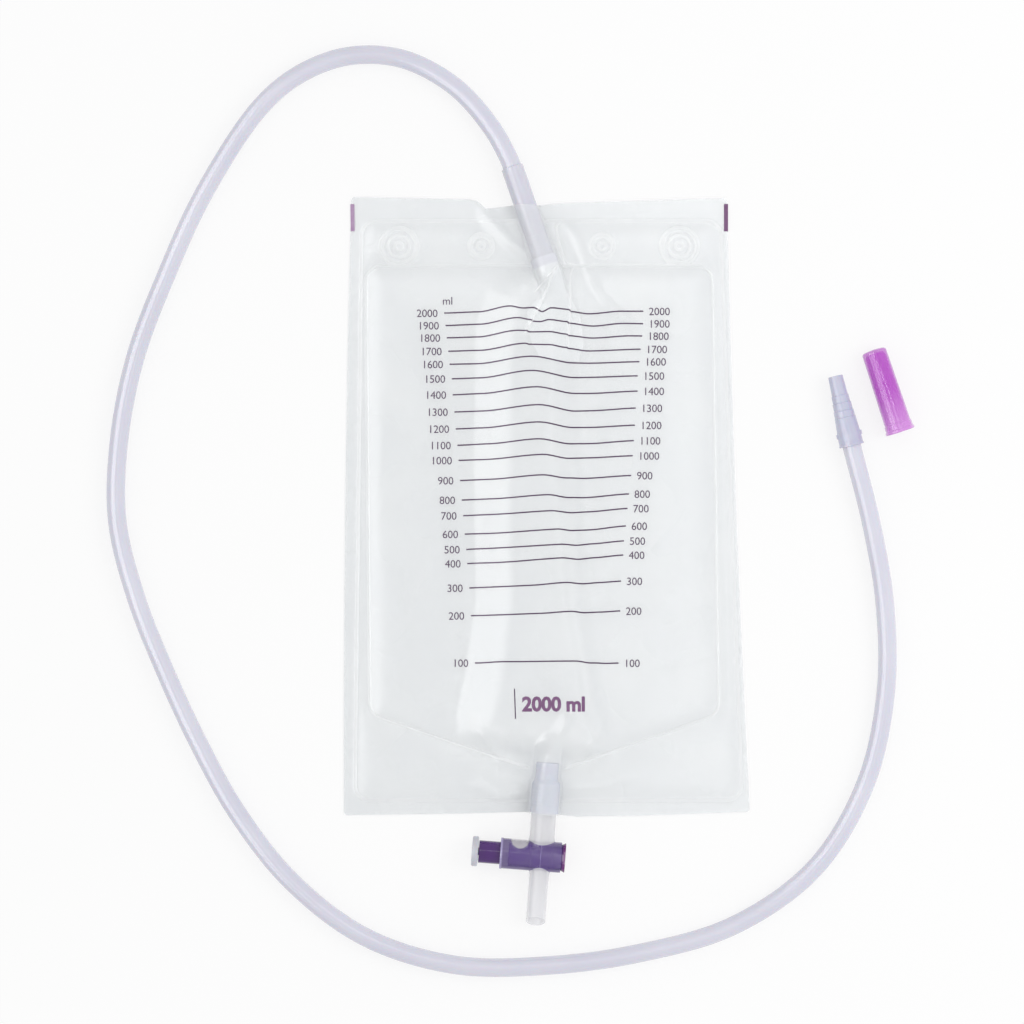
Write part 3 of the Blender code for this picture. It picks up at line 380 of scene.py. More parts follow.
@dataclass(frozen=True)
class ValveFinish:
    """Film of the valve, lilac where its neck lies on the sleeve."""

    name: str
    foot: Place
    turn: float
    colour: Colour = (0.91, 0.93, 0.94)
    shade: Colour = (0.88, 0.90, 0.915)
    lilac: Colour = (0.75, 0.745, 0.83)
    lilac_from: Span = (-0.0010, 0.0010)
    mottle: Span = (28.0, 4.0)
    relief: Relief = Relief((0.18, 0.25), 60.0, grain=(1500.0, 0.00001), waves=(95.0, 0.00006))
    alpha: float = 0.97

    def material(self) -> bpy.types.Material:
        """Build the valve film's material.

        Returns:
            The material.
        """
        graph = NodeGraph(self.name)
        _, along, _ = graph.local_axes(self.foot, self.turn)
        film = graph.mottle(*self.mottle, self.shade, self.colour)
        neck = graph.ramp(along, *self.lilac_from)
        graph.feed("Base Color", graph.blend(neck, film, self.lilac))
        self.relief.apply(graph)
        graph.set("Alpha", self.alpha)
        return graph.material


@dataclass(frozen=True)
class CapFinish:
    """Clear tinted moulding with a hard shine, deeper in colour to its closed end."""

    name: str
    mouth: Place
    turn: float
    pale: Colour = (0.77, 0.33, 0.84)
    deep: Colour = (0.59, 0.078, 0.69)
    fade: Span = (-0.003, 0.029)
    cloud_scale: float = 34.0
    cloud_detail: float = 2.0
    cloud_share: float = 0.1
    relief: Relief = Relief((0.10, 0.14), 120.0, grain=(3200.0, 0.000001),
                            waves=(120.0, 0.000004), coat=(0.5, 0.06))
    alpha: float = 0.55

    def material(self) -> bpy.types.Material:
        """Build the clear plastic's material.

        Returns:
            The material.
        """
        graph = NodeGraph(self.name)
        _, along, _ = graph.local_axes(self.mouth, self.turn)
        clouds = graph.spread(graph.grain(self.cloud_scale, self.cloud_detail),
                              -self.cloud_share, self.cloud_share)
        tone = graph.calculate("ADD", graph.ramp(along, *self.fade), clouds)
        graph.feed("Base Color", graph.blend(tone, self.pale, self.deep))
        self.relief.apply(graph)
        graph.set("Alpha", self.alpha)
        return graph.material


@dataclass(frozen=True)
class TapFinish:
    """Milky moulding of the tap, tinted round its bore by the plunger that fills it."""

    name: str
    centre: Place
    turn: float
    milky: Colour = (0.90, 0.90, 0.925)
    milky_alpha: float = 0.50
    tinted: Colour = (0.185, 0.112, 0.41)
    tinted_alpha: float = 0.36
    hollow: Colour = (0.110, 0.068, 0.225)
    end_tint: Colour = (0.36, 0.30, 0.58)
    port_tint: Colour = (0.60, 0.57, 0.64)
    barrel_radius: float = 0.0084
    barrel_edge: float = 0.0001
    branch_squash: float = 0.27
    rim: Span = (0.0055, 0.0068)
    rim_alpha: float = 0.92
    edge: Span = (0.0072, 0.0082)
    edge_share: float = 0.4
    left_end: Span = (-0.0212, -0.0202)
    filled_from: Span = (-0.0176, -0.0170)
    port: Span = (-0.0115, 0.0086)
    port_radius: float = 0.0052
    port_middle: float = 0.86
    parting_half_width: float = 0.00015
    parting_share: float = 0.5
    cloud_scale: float = 90.0
    cloud_detail: float = 2.0
    cloud_share: float = 0.12
    relief: Relief = Relief((0.12, 0.2), 180.0, grain=(3200.0, 0.000006),
                            waves=(320.0, 0.00002))

    def material(self) -> bpy.types.Material:
        """Build the tap's material.

        Returns:
            The material.
        """
        graph = NodeGraph(self.name)
        calculate = graph.calculate
        along, across, up = graph.local_axes(self.centre, self.turn)
        off_axis = calculate("ABSOLUTE", across)
        above = calculate("GREATER_THAN", across, 0.0)
        squash = calculate("MULTIPLY_ADD", above, -self.branch_squash, 1.0)
        reach = graph.reach(across, calculate("MULTIPLY", up, squash))
        branch = graph.ramp(reach, self.barrel_radius - self.barrel_edge,
                            self.barrel_radius + self.barrel_edge)
        from_port = graph.reach(calculate("SUBTRACT", along, self.port[0]),
                                calculate("SUBTRACT", across, self.port[1]))
        closed = graph.ramp(from_port, self.port_middle * self.port_radius, self.port_radius)
        unfilled = graph.inverse(graph.ramp(along, *self.filled_from))
        dark = calculate("MAXIMUM", graph.ramp(off_axis, *self.rim), unfilled)
        end = graph.inverse(graph.ramp(along, *self.left_end))
        parting = calculate("LESS_THAN", calculate("ABSOLUTE", along), self.parting_half_width)
        parting = calculate("MULTIPLY", parting, self.parting_share)
        edge = calculate("MULTIPLY", graph.ramp(off_axis, *self.edge), self.edge_share)
        pale = calculate("MAXIMUM", calculate("MAXIMUM", end, parting), edge)
        barrel = graph.blend(dark, self.tinted, self.hollow)
        barrel = graph.blend(pale, barrel, self.end_tint)
        barrel = graph.blend(closed, self.port_tint, barrel)
        clouds = graph.grain(self.cloud_scale, self.cloud_detail)
        clouds = graph.spread(clouds, 0.0, self.cloud_share)
        barrel = graph.blend(clouds, barrel, self.milky)
        graph.feed("Base Color", graph.blend(branch, barrel, self.milky))
        cover = calculate("MULTIPLY", calculate("MAXIMUM", dark, pale), closed)
        barrel_alpha = calculate("MULTIPLY_ADD", cover, self.rim_alpha - self.tinted_alpha,
                                 self.tinted_alpha)
        barrel_alpha = calculate("MULTIPLY", barrel_alpha, graph.inverse(branch))
        graph.feed("Alpha", calculate("MULTIPLY_ADD", branch, self.milky_alpha, barrel_alpha))
        self.relief.apply(graph)
        return graph.material


@dataclass(frozen=True)
class PlungerFinish:
    """Glossy purple moulding of the plunger, clear and magenta at its thin flared end."""

    name: str
    centre: Place
    turn: float
    colour: Colour = (0.066, 0.006, 0.158)
    shade: Colour = (0.050, 0.006, 0.118)
    flare: Colour = (0.15, 0.012, 0.17)
    flare_start: Span = (0.0112, 0.0126)
    mottle: Span = (70.0, 2.0)
    relief: Relief = Relief((0.10, 0.15), 210.0, grain=(3200.0, 0.000006),
                            waves=(280.0, 0.00002), coat=(0.1, 0.08))

    def material(self) -> bpy.types.Material:
        """Build the plunger's material.

        Returns:
            The material.
        """
        graph = NodeGraph(self.name)
        along, _, _ = graph.local_axes(self.centre, self.turn)
        body = graph.mottle(*self.mottle, self.shade, self.colour)
        flare = graph.ramp(along, *self.flare_start)
        graph.feed("Base Color", graph.blend(flare, body, self.flare))
        self.relief.apply(graph)
        return graph.material


FILM = FilmFinish("film", (0.94, 0.955, 0.965), (0.915, 0.935, 0.95), alpha=0.26)
FUSED_FILM = FilmFinish("film_fused", (0.95, 0.96, 0.97), (0.93, 0.945, 0.955), alpha=0.42)
# Painted highlight: the crests of the crisp creases are painted whiter and more opaque, standing in
# for the gloss that catches them.
CREST_HIGHLIGHT_FILM = FilmFinish("film_crest_highlight", (0.96, 0.965, 0.98), (0.94, 0.945, 0.96), alpha=0.42)
CLINGING_FILM = replace(FILM, name="film_clinging", gloss=0.3)
BACK_FILM = FilmFinish("film_back", (0.90, 0.917, 0.927), (0.87, 0.887, 0.902), alpha=0.80)
VALVE_FILM = ValveFinish("film_valve", (-0.0005, 0.1292, 0.0), math.radians(19.1))
TUBE_VINYL = VinylFinish("tube_vinyl", (0.69, 0.69, 0.78), (0.65, 0.65, 0.75))
INLET_VINYL = VinylFinish("inlet_vinyl", (0.78, 0.77, 0.855), (0.73, 0.72, 0.81), alpha=0.75)
OUTLET_VINYL = VinylFinish("outlet_vinyl", (0.70, 0.73, 0.86), (0.63, 0.66, 0.81), alpha=0.62)
DISC_PLASTIC = MouldedFinish("disc_plastic", (0.57, 0.58, 0.64), (0.53, 0.54, 0.60))
CONNECTOR_PLASTIC = MouldedFinish("connector_plastic", (0.575, 0.585, 0.715), (0.52, 0.53, 0.67),
                                  relief=replace(DISC_PLASTIC.relief, roughness=(0.18, 0.25)),
                                  depth=(0.15, 0.002))
CAP_PLASTIC = CapFinish("cap_plastic", (0.1893, 0.0399, 0.0), math.radians(18.2))
TAP_FRAME = ((-0.0035, -0.1873, 0.00835), math.radians(-4.4))
TAP_PLASTIC = TapFinish("tap_plastic", *TAP_FRAME)
PLUNGER_PLASTIC = PlungerFinish("plunger_plastic", *TAP_FRAME)
SCALE_INK = InkFinish("scale_ink", (0.048, 0.016, 0.056), (0.066, 0.026, 0.074))
PALE_INK = InkFinish("pale_ink", (0.36, 0.21, 0.38), (0.42, 0.28, 0.44))
PLUM_INK = InkFinish("plum_ink", (0.14, 0.045, 0.145), (0.19, 0.075, 0.19))


def smoothstep(value: np.ndarray | float) -> np.ndarray | float:
    """Ease values from 0 to 1."""
    value = np.clip(value, 0.0, 1.0)
    return value * value * (3 - 2 * value)


def line_distance(points: np.ndarray, line: np.ndarray) -> tuple[np.ndarray, np.ndarray]:
    """Measure points against a polyline.

    Args:
        points: The points, one a row.
        line: The polyline's points, one a row.

    Returns:
        Each point's distance from the line, and the share of the line's length there.
    """
    start = line[:-1]
    run = line[1:] - start
    length = np.linalg.norm(run, axis=1)
    before = np.concatenate([[0.0], np.cumsum(length)[:-1]])
    best = np.full(len(points), 1e9)
    share = np.zeros(len(points))
    for origin, step, size, done in zip(start, run, length, before):
        along = np.clip((points - origin) @ step / (size * size), 0.0, 1.0)
        distance = np.linalg.norm(points - origin - along[:, None] * step, axis=1)
        nearer = distance < best
        best[nearer] = distance[nearer]
        share[nearer] = ((done + along * size) / length.sum())[nearer]
    return best, share


def is_inside(points: np.ndarray, loop: np.ndarray) -> np.ndarray:
    """Tell which points are inside a closed loop.

    Args:
        points: The points, one a row.
        loop: The loop's points, one a row, without its first point again.

    Returns:
        True for each point that is inside.
    """
    inside = np.zeros(len(points), bool)
    for start, end in zip(loop, np.roll(loop, -1, axis=0)):
        if start[1] == end[1]:
            continue
        spans = (start[1] > points[:, 1]) != (end[1] > points[:, 1])
        crossing = start[0] + (points[:, 1] - start[1]) * (end[0] - start[0]) / (end[1] - start[1])
        inside ^= spans & (points[:, 0] < crossing)
    return inside


def rounded(corners: Points, radius: float, arc_steps: int) -> np.ndarray:
    """Round the inner corners of a polyline by arcs.

    Args:
        corners: The polyline's points.
        radius: The arcs' radius.
        arc_steps: The steps of each arc.

    Returns:
        The rounded polyline's points, one a row.
    """
    result = [Vector(corners[0])]
    for before, corner, after in zip(corners, corners[1:], corners[2:]):
        corner = Vector(corner)
        back = (Vector(before) - corner).normalized()
        ahead = (Vector(after) - corner).normalized()
        half_angle = back.angle(ahead) / 2
        centre = corner + (back + ahead).normalized() * radius / math.sin(half_angle)
        start = (corner + back * radius / math.tan(half_angle) - centre).normalized()
        finish = (corner + ahead * radius / math.tan(half_angle) - centre).normalized()
        for step in range(arc_steps + 1):
            result.append(centre + start.slerp(finish, step / arc_steps) * radius)
    result.append(Vector(corners[-1]))
    return np.array([tuple(point) for point in result])


def resampled(points: np.ndarray, step: float) -> np.ndarray:
    """Cut a polyline's long stretches into even shorter ones.

    Args:
        points: The polyline's points, one a row.
        step: The longest stretch.

    Returns:
        The finer polyline's points, one a row.
    """
    result = [points[0]]
    for start, end in zip(points, points[1:]):
        count = max(1, math.ceil(np.linalg.norm(end - start) / step))
        result.extend(start + (end - start) * index / count for index in range(1, count + 1))
    return np.array(result)


def offset_line(points: np.ndarray, distance: float) -> np.ndarray:
    """Move a 2-D polyline sideways.

    Args:
        points: The polyline's points, one a row.
        distance: How far to the left of its run.

    Returns:
        The moved polyline's points, one a row.
    """
    along = np.gradient(points, axis=0)
    along /= np.linalg.norm(along, axis=1)[:, None]
    return points + np.stack([-along[:, 1], along[:, 0]], axis=1) * distance


def smooth_curve(points: list[Vector], step: float) -> list[Vector]:
    """Draw a smooth curve through points.

    Args:
        points: The points that the curve passes through.
        step: The rough distance between the points returned.

    Returns:
        Points along the curve.
    """
    padded = [2 * points[0] - points[1], *points, 2 * points[-1] - points[-2]]
    result = [points[0]]
    for p0, p1, p2, p3 in zip(padded, padded[1:], padded[2:], padded[3:]):
        t1 = math.sqrt((p1 - p0).length)
        t2 = t1 + math.sqrt((p2 - p1).length)
        t3 = t2 + math.sqrt((p3 - p2).length)
        count = max(1, round((p2 - p1).length / step))
        for index in range(1, count + 1):
            t = t1 + (t2 - t1) * index / count
            a1 = p0.lerp(p1, t / t1)
            a2 = p1.lerp(p2, (t - t1) / (t2 - t1))
            a3 = p2.lerp(p3, (t - t2) / (t3 - t2))
            b1 = a1.lerp(a2, t / t2)
            b2 = a2.lerp(a3, (t - t1) / (t3 - t1))
            result.append(b1.lerp(b2, (t - t1) / (t2 - t1)))
    return result


def add_piece(
    name: str,
    verts: np.ndarray | list[Place],
    faces: Faces,
    material: bpy.types.Material,
    slot: Slot | None = None,
    crease: float = FILM_CREASE,
    lets_light_through: bool = True,
) -> bpy.types.Object:
    """Make a mesh piece that rides on the bag.

    Args:
        name: The piece's name.
        verts: Its points, in the part's frame.
        faces: Its faces as point indices.
        material: Its material.
        slot: Not used.
        crease: The angle in degrees over which edges stay sharp.
        lets_light_through: Whether lamps shine through it, as through clear film.

    Returns:
        The new object.
    """
    mesh = bpy.data.meshes.new(name)
    mesh.from_pydata([tuple(map(float, vert)) for vert in verts], [], faces)
    mesh.update()
    mesh.shade_smooth()
    mesh.set_sharp_from_angle(angle=math.radians(crease))
    mesh.materials.append(material)
    piece = bpy.data.objects.new(name, mesh)
    piece.visible_shadow = not lets_light_through
    bpy.context.scene.collection.objects.link(piece)
    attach(piece, Body.BAG.value)
    LOG.info("%s: %d faces", name, len(faces))
    return piece


def facet_smoother() -> bpy.types.NodeTree:
    """Build the geometry nodes that shade a faceted solid smooth.

    Returns:
        The node group.
    """
    tree = bpy.data.node_groups.new("facet_smoother", "GeometryNodeTree")
    for side in ("INPUT", "OUTPUT"):
        tree.interface.new_socket("Geometry", in_out=side, socket_type="NodeSocketGeometry")
    weld = tree.nodes.new("GeometryNodeMergeByDistance")
    weld.inputs["Distance"].default_value = WELD_DISTANCE
    bare = tree.nodes.new("GeometryNodeRemoveAttribute")
    bare.inputs["Name"].default_value = "custom_normal"
    smooth = tree.nodes.new("GeometryNodeSetShadeSmooth")
    crisp = tree.nodes.new("GeometryNodeSetShadeSmooth")
    crisp.domain = "EDGE"
    crisp.inputs["Shade Smooth"].default_value = False
    chain = [tree.nodes.new("NodeGroupInput"), weld, bare, smooth, crisp,
             tree.nodes.new("NodeGroupOutput")]
    for node, after in zip(chain, chain[1:]):
        tree.links.new(node.outputs[0], after.inputs[0])
    steep = tree.nodes.new("FunctionNodeCompare")
    steep.operation = "GREATER_THAN"
    steep.inputs["B"].default_value = math.radians(MOULDING_CREASE)
    between = tree.nodes.new("GeometryNodeInputMeshEdgeAngle")
    tree.links.new(between.outputs["Unsigned Angle"], steep.inputs["A"])
    tree.links.new(steep.outputs["Result"], crisp.inputs["Selection"])
    return tree


def shown_rays(tree: bpy.types.NodeTree) -> bpy.types.NodeSocket:
    """Return 1 for the rays that show the background: seen, mirrored or through glass.

    Args:
        tree: The node tree to work in.

    Returns:
        The socket.
    """
    rays = tree.nodes.new("ShaderNodeLightPath")
    shown = rays.outputs["Is Camera Ray"]
    for kind in ("Is Glossy Ray", "Is Transmission Ray"):
        either = tree.nodes.new("ShaderNodeMath")
        either.operation = "MAXIMUM"
        tree.links.new(shown, either.inputs[0])
        tree.links.new(rays.outputs[kind], either.inputs[1])
        shown = either.outputs[0]
    return shown


def spun(profile: Points, matrix: Matrix) -> Shape:
    """Spin a closed (along, radius) profile round the local Y axis.

    Args:
        profile: The ring section's points.
        matrix: The placement of the spun shape.

    Returns:
        The points and the faces.
    """
    verts = []
    for index in range(SLEEVE_SIDES):
        turn = 2 * math.pi * index / SLEEVE_SIDES
        verts += [tuple(matrix @ Vector((radius * math.cos(turn), along, radius * math.sin(turn))))
                  for along, radius in profile]
    count = len(profile)
    faces = []
    for index in range(SLEEVE_SIDES):
        here = index * count
        there = (index + 1) % SLEEVE_SIDES * count
        for row in range(count):
            after = (row + 1) % count
            faces.append((here + row, there + row, there + after, here + after))
    return verts, faces


def closed_sheet(
    points: np.ndarray, triangles: np.ndarray, under: np.ndarray, thickness: float
) -> tuple[np.ndarray, Faces]:
    """Close a sheet of triangles into film of its own thickness.

    Args:
        points: The plan's points, one a row.
        triangles: The plan's triangles, one a row.
        under: The underside's height at each point.
        thickness: The film's thickness, square to its surface.

    Returns:
        The closed film's points and faces: the undersides of the triangles first, then their
        tops, then the film's edge.
    """
    lower = np.column_stack([points, under])
    a, b, c = (lower[triangles[:, index]] for index in range(3))
    face_normals = np.cross(b - a, c - a)
    normals = np.zeros_like(lower)
    for index in range(3):
        np.add.at(normals, triangles[:, index], face_normals)
    upward = np.abs(normals[:, 2]) / np.maximum(np.linalg.norm(normals, axis=1), TINY)
    upper = lower.copy()
    upper[:, 2] += thickness / np.maximum(upward, LEAST_UPWARD)
    count = len(points)
    faces = [tuple(int(i) for i in triangle[::-1]) for triangle in triangles]
    faces += [tuple(int(i) + count for i in triangle) for triangle in triangles]
    sides = {(int(start), int(end)): None for triangle in triangles
             for start, end in zip(triangle, np.roll(triangle, -1))}
    faces += [(start, end, end + count, start + count) for start, end in sides
              if (end, start) not in sides]
    return np.concatenate([lower, upper]), faces


@dataclass(frozen=True)
class Fold:
    """A raised fold of the film along a line of crest points."""

    crest: Points
    height: float
    half_width: float
    crisp: bool = False
    softness: float = 2.2
    end_lift: float = 0.3
    end_share: float = 0.14

    def lift(self, points: np.ndarray) -> np.ndarray:
        """Work out the height that the fold adds.

        Args:
            points: The points, one a row.

        Returns:
            The height at each point.
        """
        distance, share = line_distance(points, np.array(self.crest))
        away = distance / self.half_width
        if self.crisp:
            shape = np.clip(1 - away, 0.0, None)
        else:
            shape = np.exp(-self.softness * away * away)
        ends = self.end_lift + (1 - self.end_lift) * np.minimum(share, 1 - share) / self.end_share
        return self.height * shape * np.minimum(ends, 1.0)


@dataclass
class Sleeve:
    """A round sleeve between the films, and the tent of film over it.

    The neck is where along the sleeve the film's distance from it starts and ends to change,
    and by how much.
    """

    mouth: Vector
    direction: Vector
    length: float
    diameter: float
    axis_z: float
    neck: tuple[float, float, float]
    clearance: float = 0.00065
    base: float = 0.00065
    tent_angle: float = math.radians(84.0)
    hold: float = 0.0025
    fade: float = 0.014
    fan_out: float = 0.9
    fan_softness: float = 1.1
    guide_angles: tuple[float, ...] = (0.0, 28.0, 52.0, 70.0, 84.0)
    guide_step: float = 0.0010
    guide_reach: float = 1.6

    @property
    def reach(self) -> float:
        """How far from the axis the film comes down again."""
        return float(self.reach_at(0.0))

    def room(self, along: np.ndarray | float) -> np.ndarray | float:
        """Work out how far the film keeps from the axis.

        Args:
            along: The places along it.

        Returns:
            The distance at each place.
        """
        start, end, change = self.neck
        neck = smoothstep((along - start) / (end - start))
        return self.diameter / 2 + self.clearance + change * neck

    def reach_at(self, along: np.ndarray | float) -> np.ndarray | float:
        """Work out how far from the axis the film comes down.

        Args:
            along: The places along it.

        Returns:
            The distance at each place.
        """
        radius = self.room(along)
        fall = self.axis_z + radius * math.cos(self.tent_angle) - self.base
        return radius * math.sin(self.tent_angle) + fall / math.tan(self.tent_angle)

    def guide_lines(self) -> list[np.ndarray]:
        """Draw the lines along the sleeve that the film's triangles follow.

        Returns:
            The lines, each as points one a row.
        """
        end = self.length + self.hold + self.guide_reach * self.fade
        along = np.arange(0.0, end, self.guide_step)
        run = np.array(tuple(self.direction))
        axis = np.array(tuple(self.mouth)) + along[:, None] * run
        across = np.array((run[1], -run[0]))
        sides = [self.room(along) * math.sin(math.radians(angle)) for angle in self.guide_angles]
        sides.append(self.reach_at(along))
        return [axis + sign * side[:, None] * across for side in sides for sign in (-1, 1)
                if sign > 0 or side.any()]

    def local(self, points: np.ndarray) -> tuple[np.ndarray, np.ndarray]:
        """Measure points from the sleeve's mouth.

        Args:
            points: The points, one a row.

        Returns:
            Each point's place along the sleeve, and to its side.
        """
        offset = points - np.array(tuple(self.mouth))
        along = offset @ np.array(tuple(self.direction))
        side = offset[:, 0] * self.direction.y - offset[:, 1] * self.direction.x
        return along, side

    def tent(self, points: np.ndarray) -> np.ndarray:
        """Work out the tent of film over the sleeve.

        Args:
            points: The points, one a row.

        Returns:
            How far the sleeve lifts the film at each point.
        """
        along, side = self.local(points)
        side = np.abs(side)
        radius = self.room(along)
        bend = radius * math.sin(self.tent_angle)
        top = self.axis_z + np.sqrt(np.maximum(radius * radius - side * side, 0.0))
        slope = self.axis_z + radius * math.cos(self.tent_angle)
        slope = slope - (side - bend) * math.tan(self.tent_angle)
        height = np.where(side < bend, top, np.maximum(slope, self.base)) - self.base
        past = np.maximum(along - self.length - self.hold, 0.0) / self.fade
        fan = (self.axis_z + radius - self.base) * np.exp(-self.fan_softness * (side / radius) ** 2)
        opened = smoothstep(past / self.fan_out)
        return (height * (1 - opened) + fan * opened) * np.exp(-past * past)


@dataclass
class BagForm:
    """The bag's plan and the height of its front film, as one sheet of film takes them."""

    film: float = 0.00035
    gap: float = 0.0003
    top_width: float = 0.2019
    foot_width: float = 0.2183
    length: float = 0.3308
    top_shift: float = -0.0042
    side_bow: float = -0.0013
    corner_radius: float = 0.0020
    corner_steps: int = 4
    top_rises: Span = (0.0010, 0.0004)
    foot_rises: Span = (-0.0006, 0.0012)
    weld_clearance: float = 0.0010
    weld_steps: int = 10
    weld_height: float = 0.00018
    weld_ridge_offset: float = 0.00050
    weld_ridge_width: float = 0.00035
    outer_top_drop: float = 0.0120
    outer_foot_rise: float = 0.0074
    outer_insets: Span = (0.0060, 0.0038)
    outer_radius: float = 0.0080
    reservoir_drop: float = 0.0362
    reservoir_inset: float = 0.0088
    shoulder_inset: float = 0.0140
    shoulder_rise: float = 0.0540
    mouth_rise: float = 0.0250
    reservoir_radius: float = 0.0085
    inlet_weld_radius: float = 0.0030
    inlet_weld_steps: int = 6
    reservoir_puff: float = 0.0019
    header_puff: float = 0.0010
    puff_reach: float = 0.0060
    bulge_height: float = 0.0056
    bulge_flanks: Span = (0.0250, 0.0150)
    bulge_end: float = 0.0120
    bulge_power: float = 1.2
    bulge_onset: float = 0.83
    blend_power: float = 4.0
    wave_layers: tuple[tuple[float, float, float, float], ...] = (
        (34.0, 20.0, 3.1, 0.00030), (85.0, 55.0, 7.7, 0.00010))
    wave_lift: float = 0.00025
    inlet_foot_x: float = -0.0005
    inlet_lean: float = math.radians(19.1)
    inlet_length: float = 0.0558
    inlet_diameter: float = 0.0119
    inlet_neck: tuple[float, float, float] = (0.0150, 0.0100, 0.00082)
    tap_lean: float = math.radians(4.4)
    tap_cross_x: float = -0.0035
    tap_drop: float = 0.0232
    sleeve_tuck: float = 0.0013
    outlet_length: float = 0.0268
    outlet_diameter: float = 0.0154
    outlet_neck: tuple[float, float, float] = (0.0153, 0.0193, -0.0015)
    eye_row_drop: float = 0.0256
    large_eye_inset: float = 0.0263
    large_eye_radii: tuple[float, ...] = (0.0103, 0.0090, 0.0059, 0.0021)
    small_eye_places: tuple[float, ...] = (-0.0355, 0.0296)
    small_eye_radii: tuple[float, ...] = (0.0068, 0.0051, 0.0021)
    ring_height: float = 0.00011
    ring_half_width: float = 0.00055
    ring_softness: float = 1.8
    pleated_top: Points = field(default_factory=lambda: [
        (-0.0420, -0.0003), (-0.0375, -0.0012), (-0.0329, -0.0054), (-0.0167, -0.0037),
        (-0.0061, -0.0040), (0.0035, -0.0027), (0.0150, -0.0021), (0.0500, -0.0010),
    ])
    gathered_foot: Points = field(default_factory=lambda: [
        (-0.0495, 0.0002), (-0.0086, 0.0013), (0.0054, 0.0000), (0.0110, -0.0008),
        (0.0165, -0.0013), (0.0500, -0.0009),
    ])
    inlet_weld: Points = field(default_factory=lambda: [
        (0.0075, 0.1532), (0.0048, 0.1508), (0.0072, 0.1380), (0.0100, 0.1302), (0.0150, 0.1292),
    ])
    bulge_left: Points = field(default_factory=lambda: [
        (-0.0215, 0.1310), (-0.0320, 0.1170), (-0.0385, 0.0960), (-0.0395, 0.0300),
        (-0.0385, -0.0500), (-0.0440, -0.0900), (-0.0490, -0.1130), (-0.0470, -0.1240),
        (-0.0400, -0.1310),
    ])
    bulge_right: Points = field(default_factory=lambda: [
        (0.0130, 0.1310), (0.0165, 0.1110), (0.0165, 0.0300), (0.0225, -0.0500),
        (0.0300, -0.0950), (0.0370, -0.1250), (0.0385, -0.1400),
    ])
    folds: tuple[Fold, ...] = (
        Fold([(-0.0355, 0.1595), (-0.0199, 0.1417), (-0.0056, 0.1312)], 0.0022, 0.0046),
        Fold([(0.0108, 0.1524), (0.0167, 0.1432), (0.0215, 0.1298), (0.0247, 0.1191),
              (0.0312, 0.1099), (0.0500, 0.0949)], 0.0010, 0.0032),
        Fold([(0.0043, 0.1277), (-0.0065, 0.1148)], 0.0007, 0.0013, crisp=True),
        Fold([(0.0048, 0.1282), (-0.0038, 0.1073), (-0.0118, 0.0922)], 0.0007, 0.0013, crisp=True),
        Fold([(0.0140, 0.1288), (0.0124, 0.1234), (0.0129, 0.1056), (0.0110, 0.0868)],
             0.0007, 0.0014, crisp=True),
        Fold([(0.0124, -0.1110), (0.0048, -0.1250), (-0.0005, -0.1375)], 0.0022, 0.0042),
        Fold([(0.0151, 0.0500), (0.0156, -0.0500), (0.0247, -0.1050), (0.0333, -0.1330)],
             0.0012, 0.0036),
        Fold([(-0.0108, -0.1427), (-0.0253, -0.1347), (-0.0371, -0.1191)], 0.0015, 0.0032),
        Fold([(-0.0124, -0.1540), (-0.0269, -0.1562), (-0.0414, -0.1470)], 0.0011, 0.0028),
        Fold([(0.0086, -0.1427), (0.0231, -0.1298), (0.0317, -0.1126)], 0.0013, 0.0032),
        Fold([(0.0097, -0.1524), (0.0285, -0.1508), (0.0500, -0.1444)], 0.0009, 0.0028),
        Fold([(0.1032, -0.0761), (0.0823, -0.0820), (0.0581, -0.0890)], 0.0006, 0.0016),
    )

    def __post_init__(self) -> None:
        """Work out the sleeves, the welds and the rings from the sizes."""
        self.top_y = self.length / 2
        self.foot_y = -self.length / 2
        self.reservoir_top = self.top_y - self.reservoir_drop
        self.base = self.film + self.gap
        direction = Vector((math.sin(self.inlet_lean), -math.cos(self.inlet_lean)))
        foot = Vector((self.inlet_foot_x, self.reservoir_top))
        start, end, change = self.inlet_neck
        self.inlet = Sleeve(foot - direction * self.inlet_length, direction, self.inlet_length,
                            self.inlet_diameter, self.base + self.inlet_diameter / 2,
                            (self.inlet_length - start, self.inlet_length - end, change))
        self.tap_centre = Vector((self.tap_cross_x, self.foot_y + self.sleeve_tuck - self.tap_drop))
        tap_up = Vector((math.sin(self.tap_lean), math.cos(self.tap_lean)))
        start, end, change = self.outlet_neck
        self.outlet = Sleeve(self.tap_centre, tap_up, self.tap_drop + self.outlet_length,
                             self.outlet_diameter, self.base + self.outlet_diameter / 2,
                             (self.tap_drop + start, self.tap_drop + end, change))
        self.welds = self.weld_lines()
        self.header = np.concatenate([self.welds[0][::-1], self.welds[1]])
        self.reservoir = np.concatenate([self.welds[2][::-1], self.welds[3]])
        self.rings = self.eye_rings()

    def bow(self, down: np.ndarray | float) -> np.ndarray | float:
        """Return how far the sides bow at a share of the way down."""
        return self.side_bow * 4 * down * (1 - down)

    def edge_x(self, side: int, y: float) -> float:
        """Return the left (-1) or right (+1) edge at a height.

        Args:
            side: Which edge.
            y: The height.

        Returns:
            The edge's place.
        """
        down = (self.top_y - y) / self.length
        width = self.top_width + (self.foot_width - self.top_width) * down
        return self.top_shift * (1 - down) + side * width / 2 + self.bow(down)

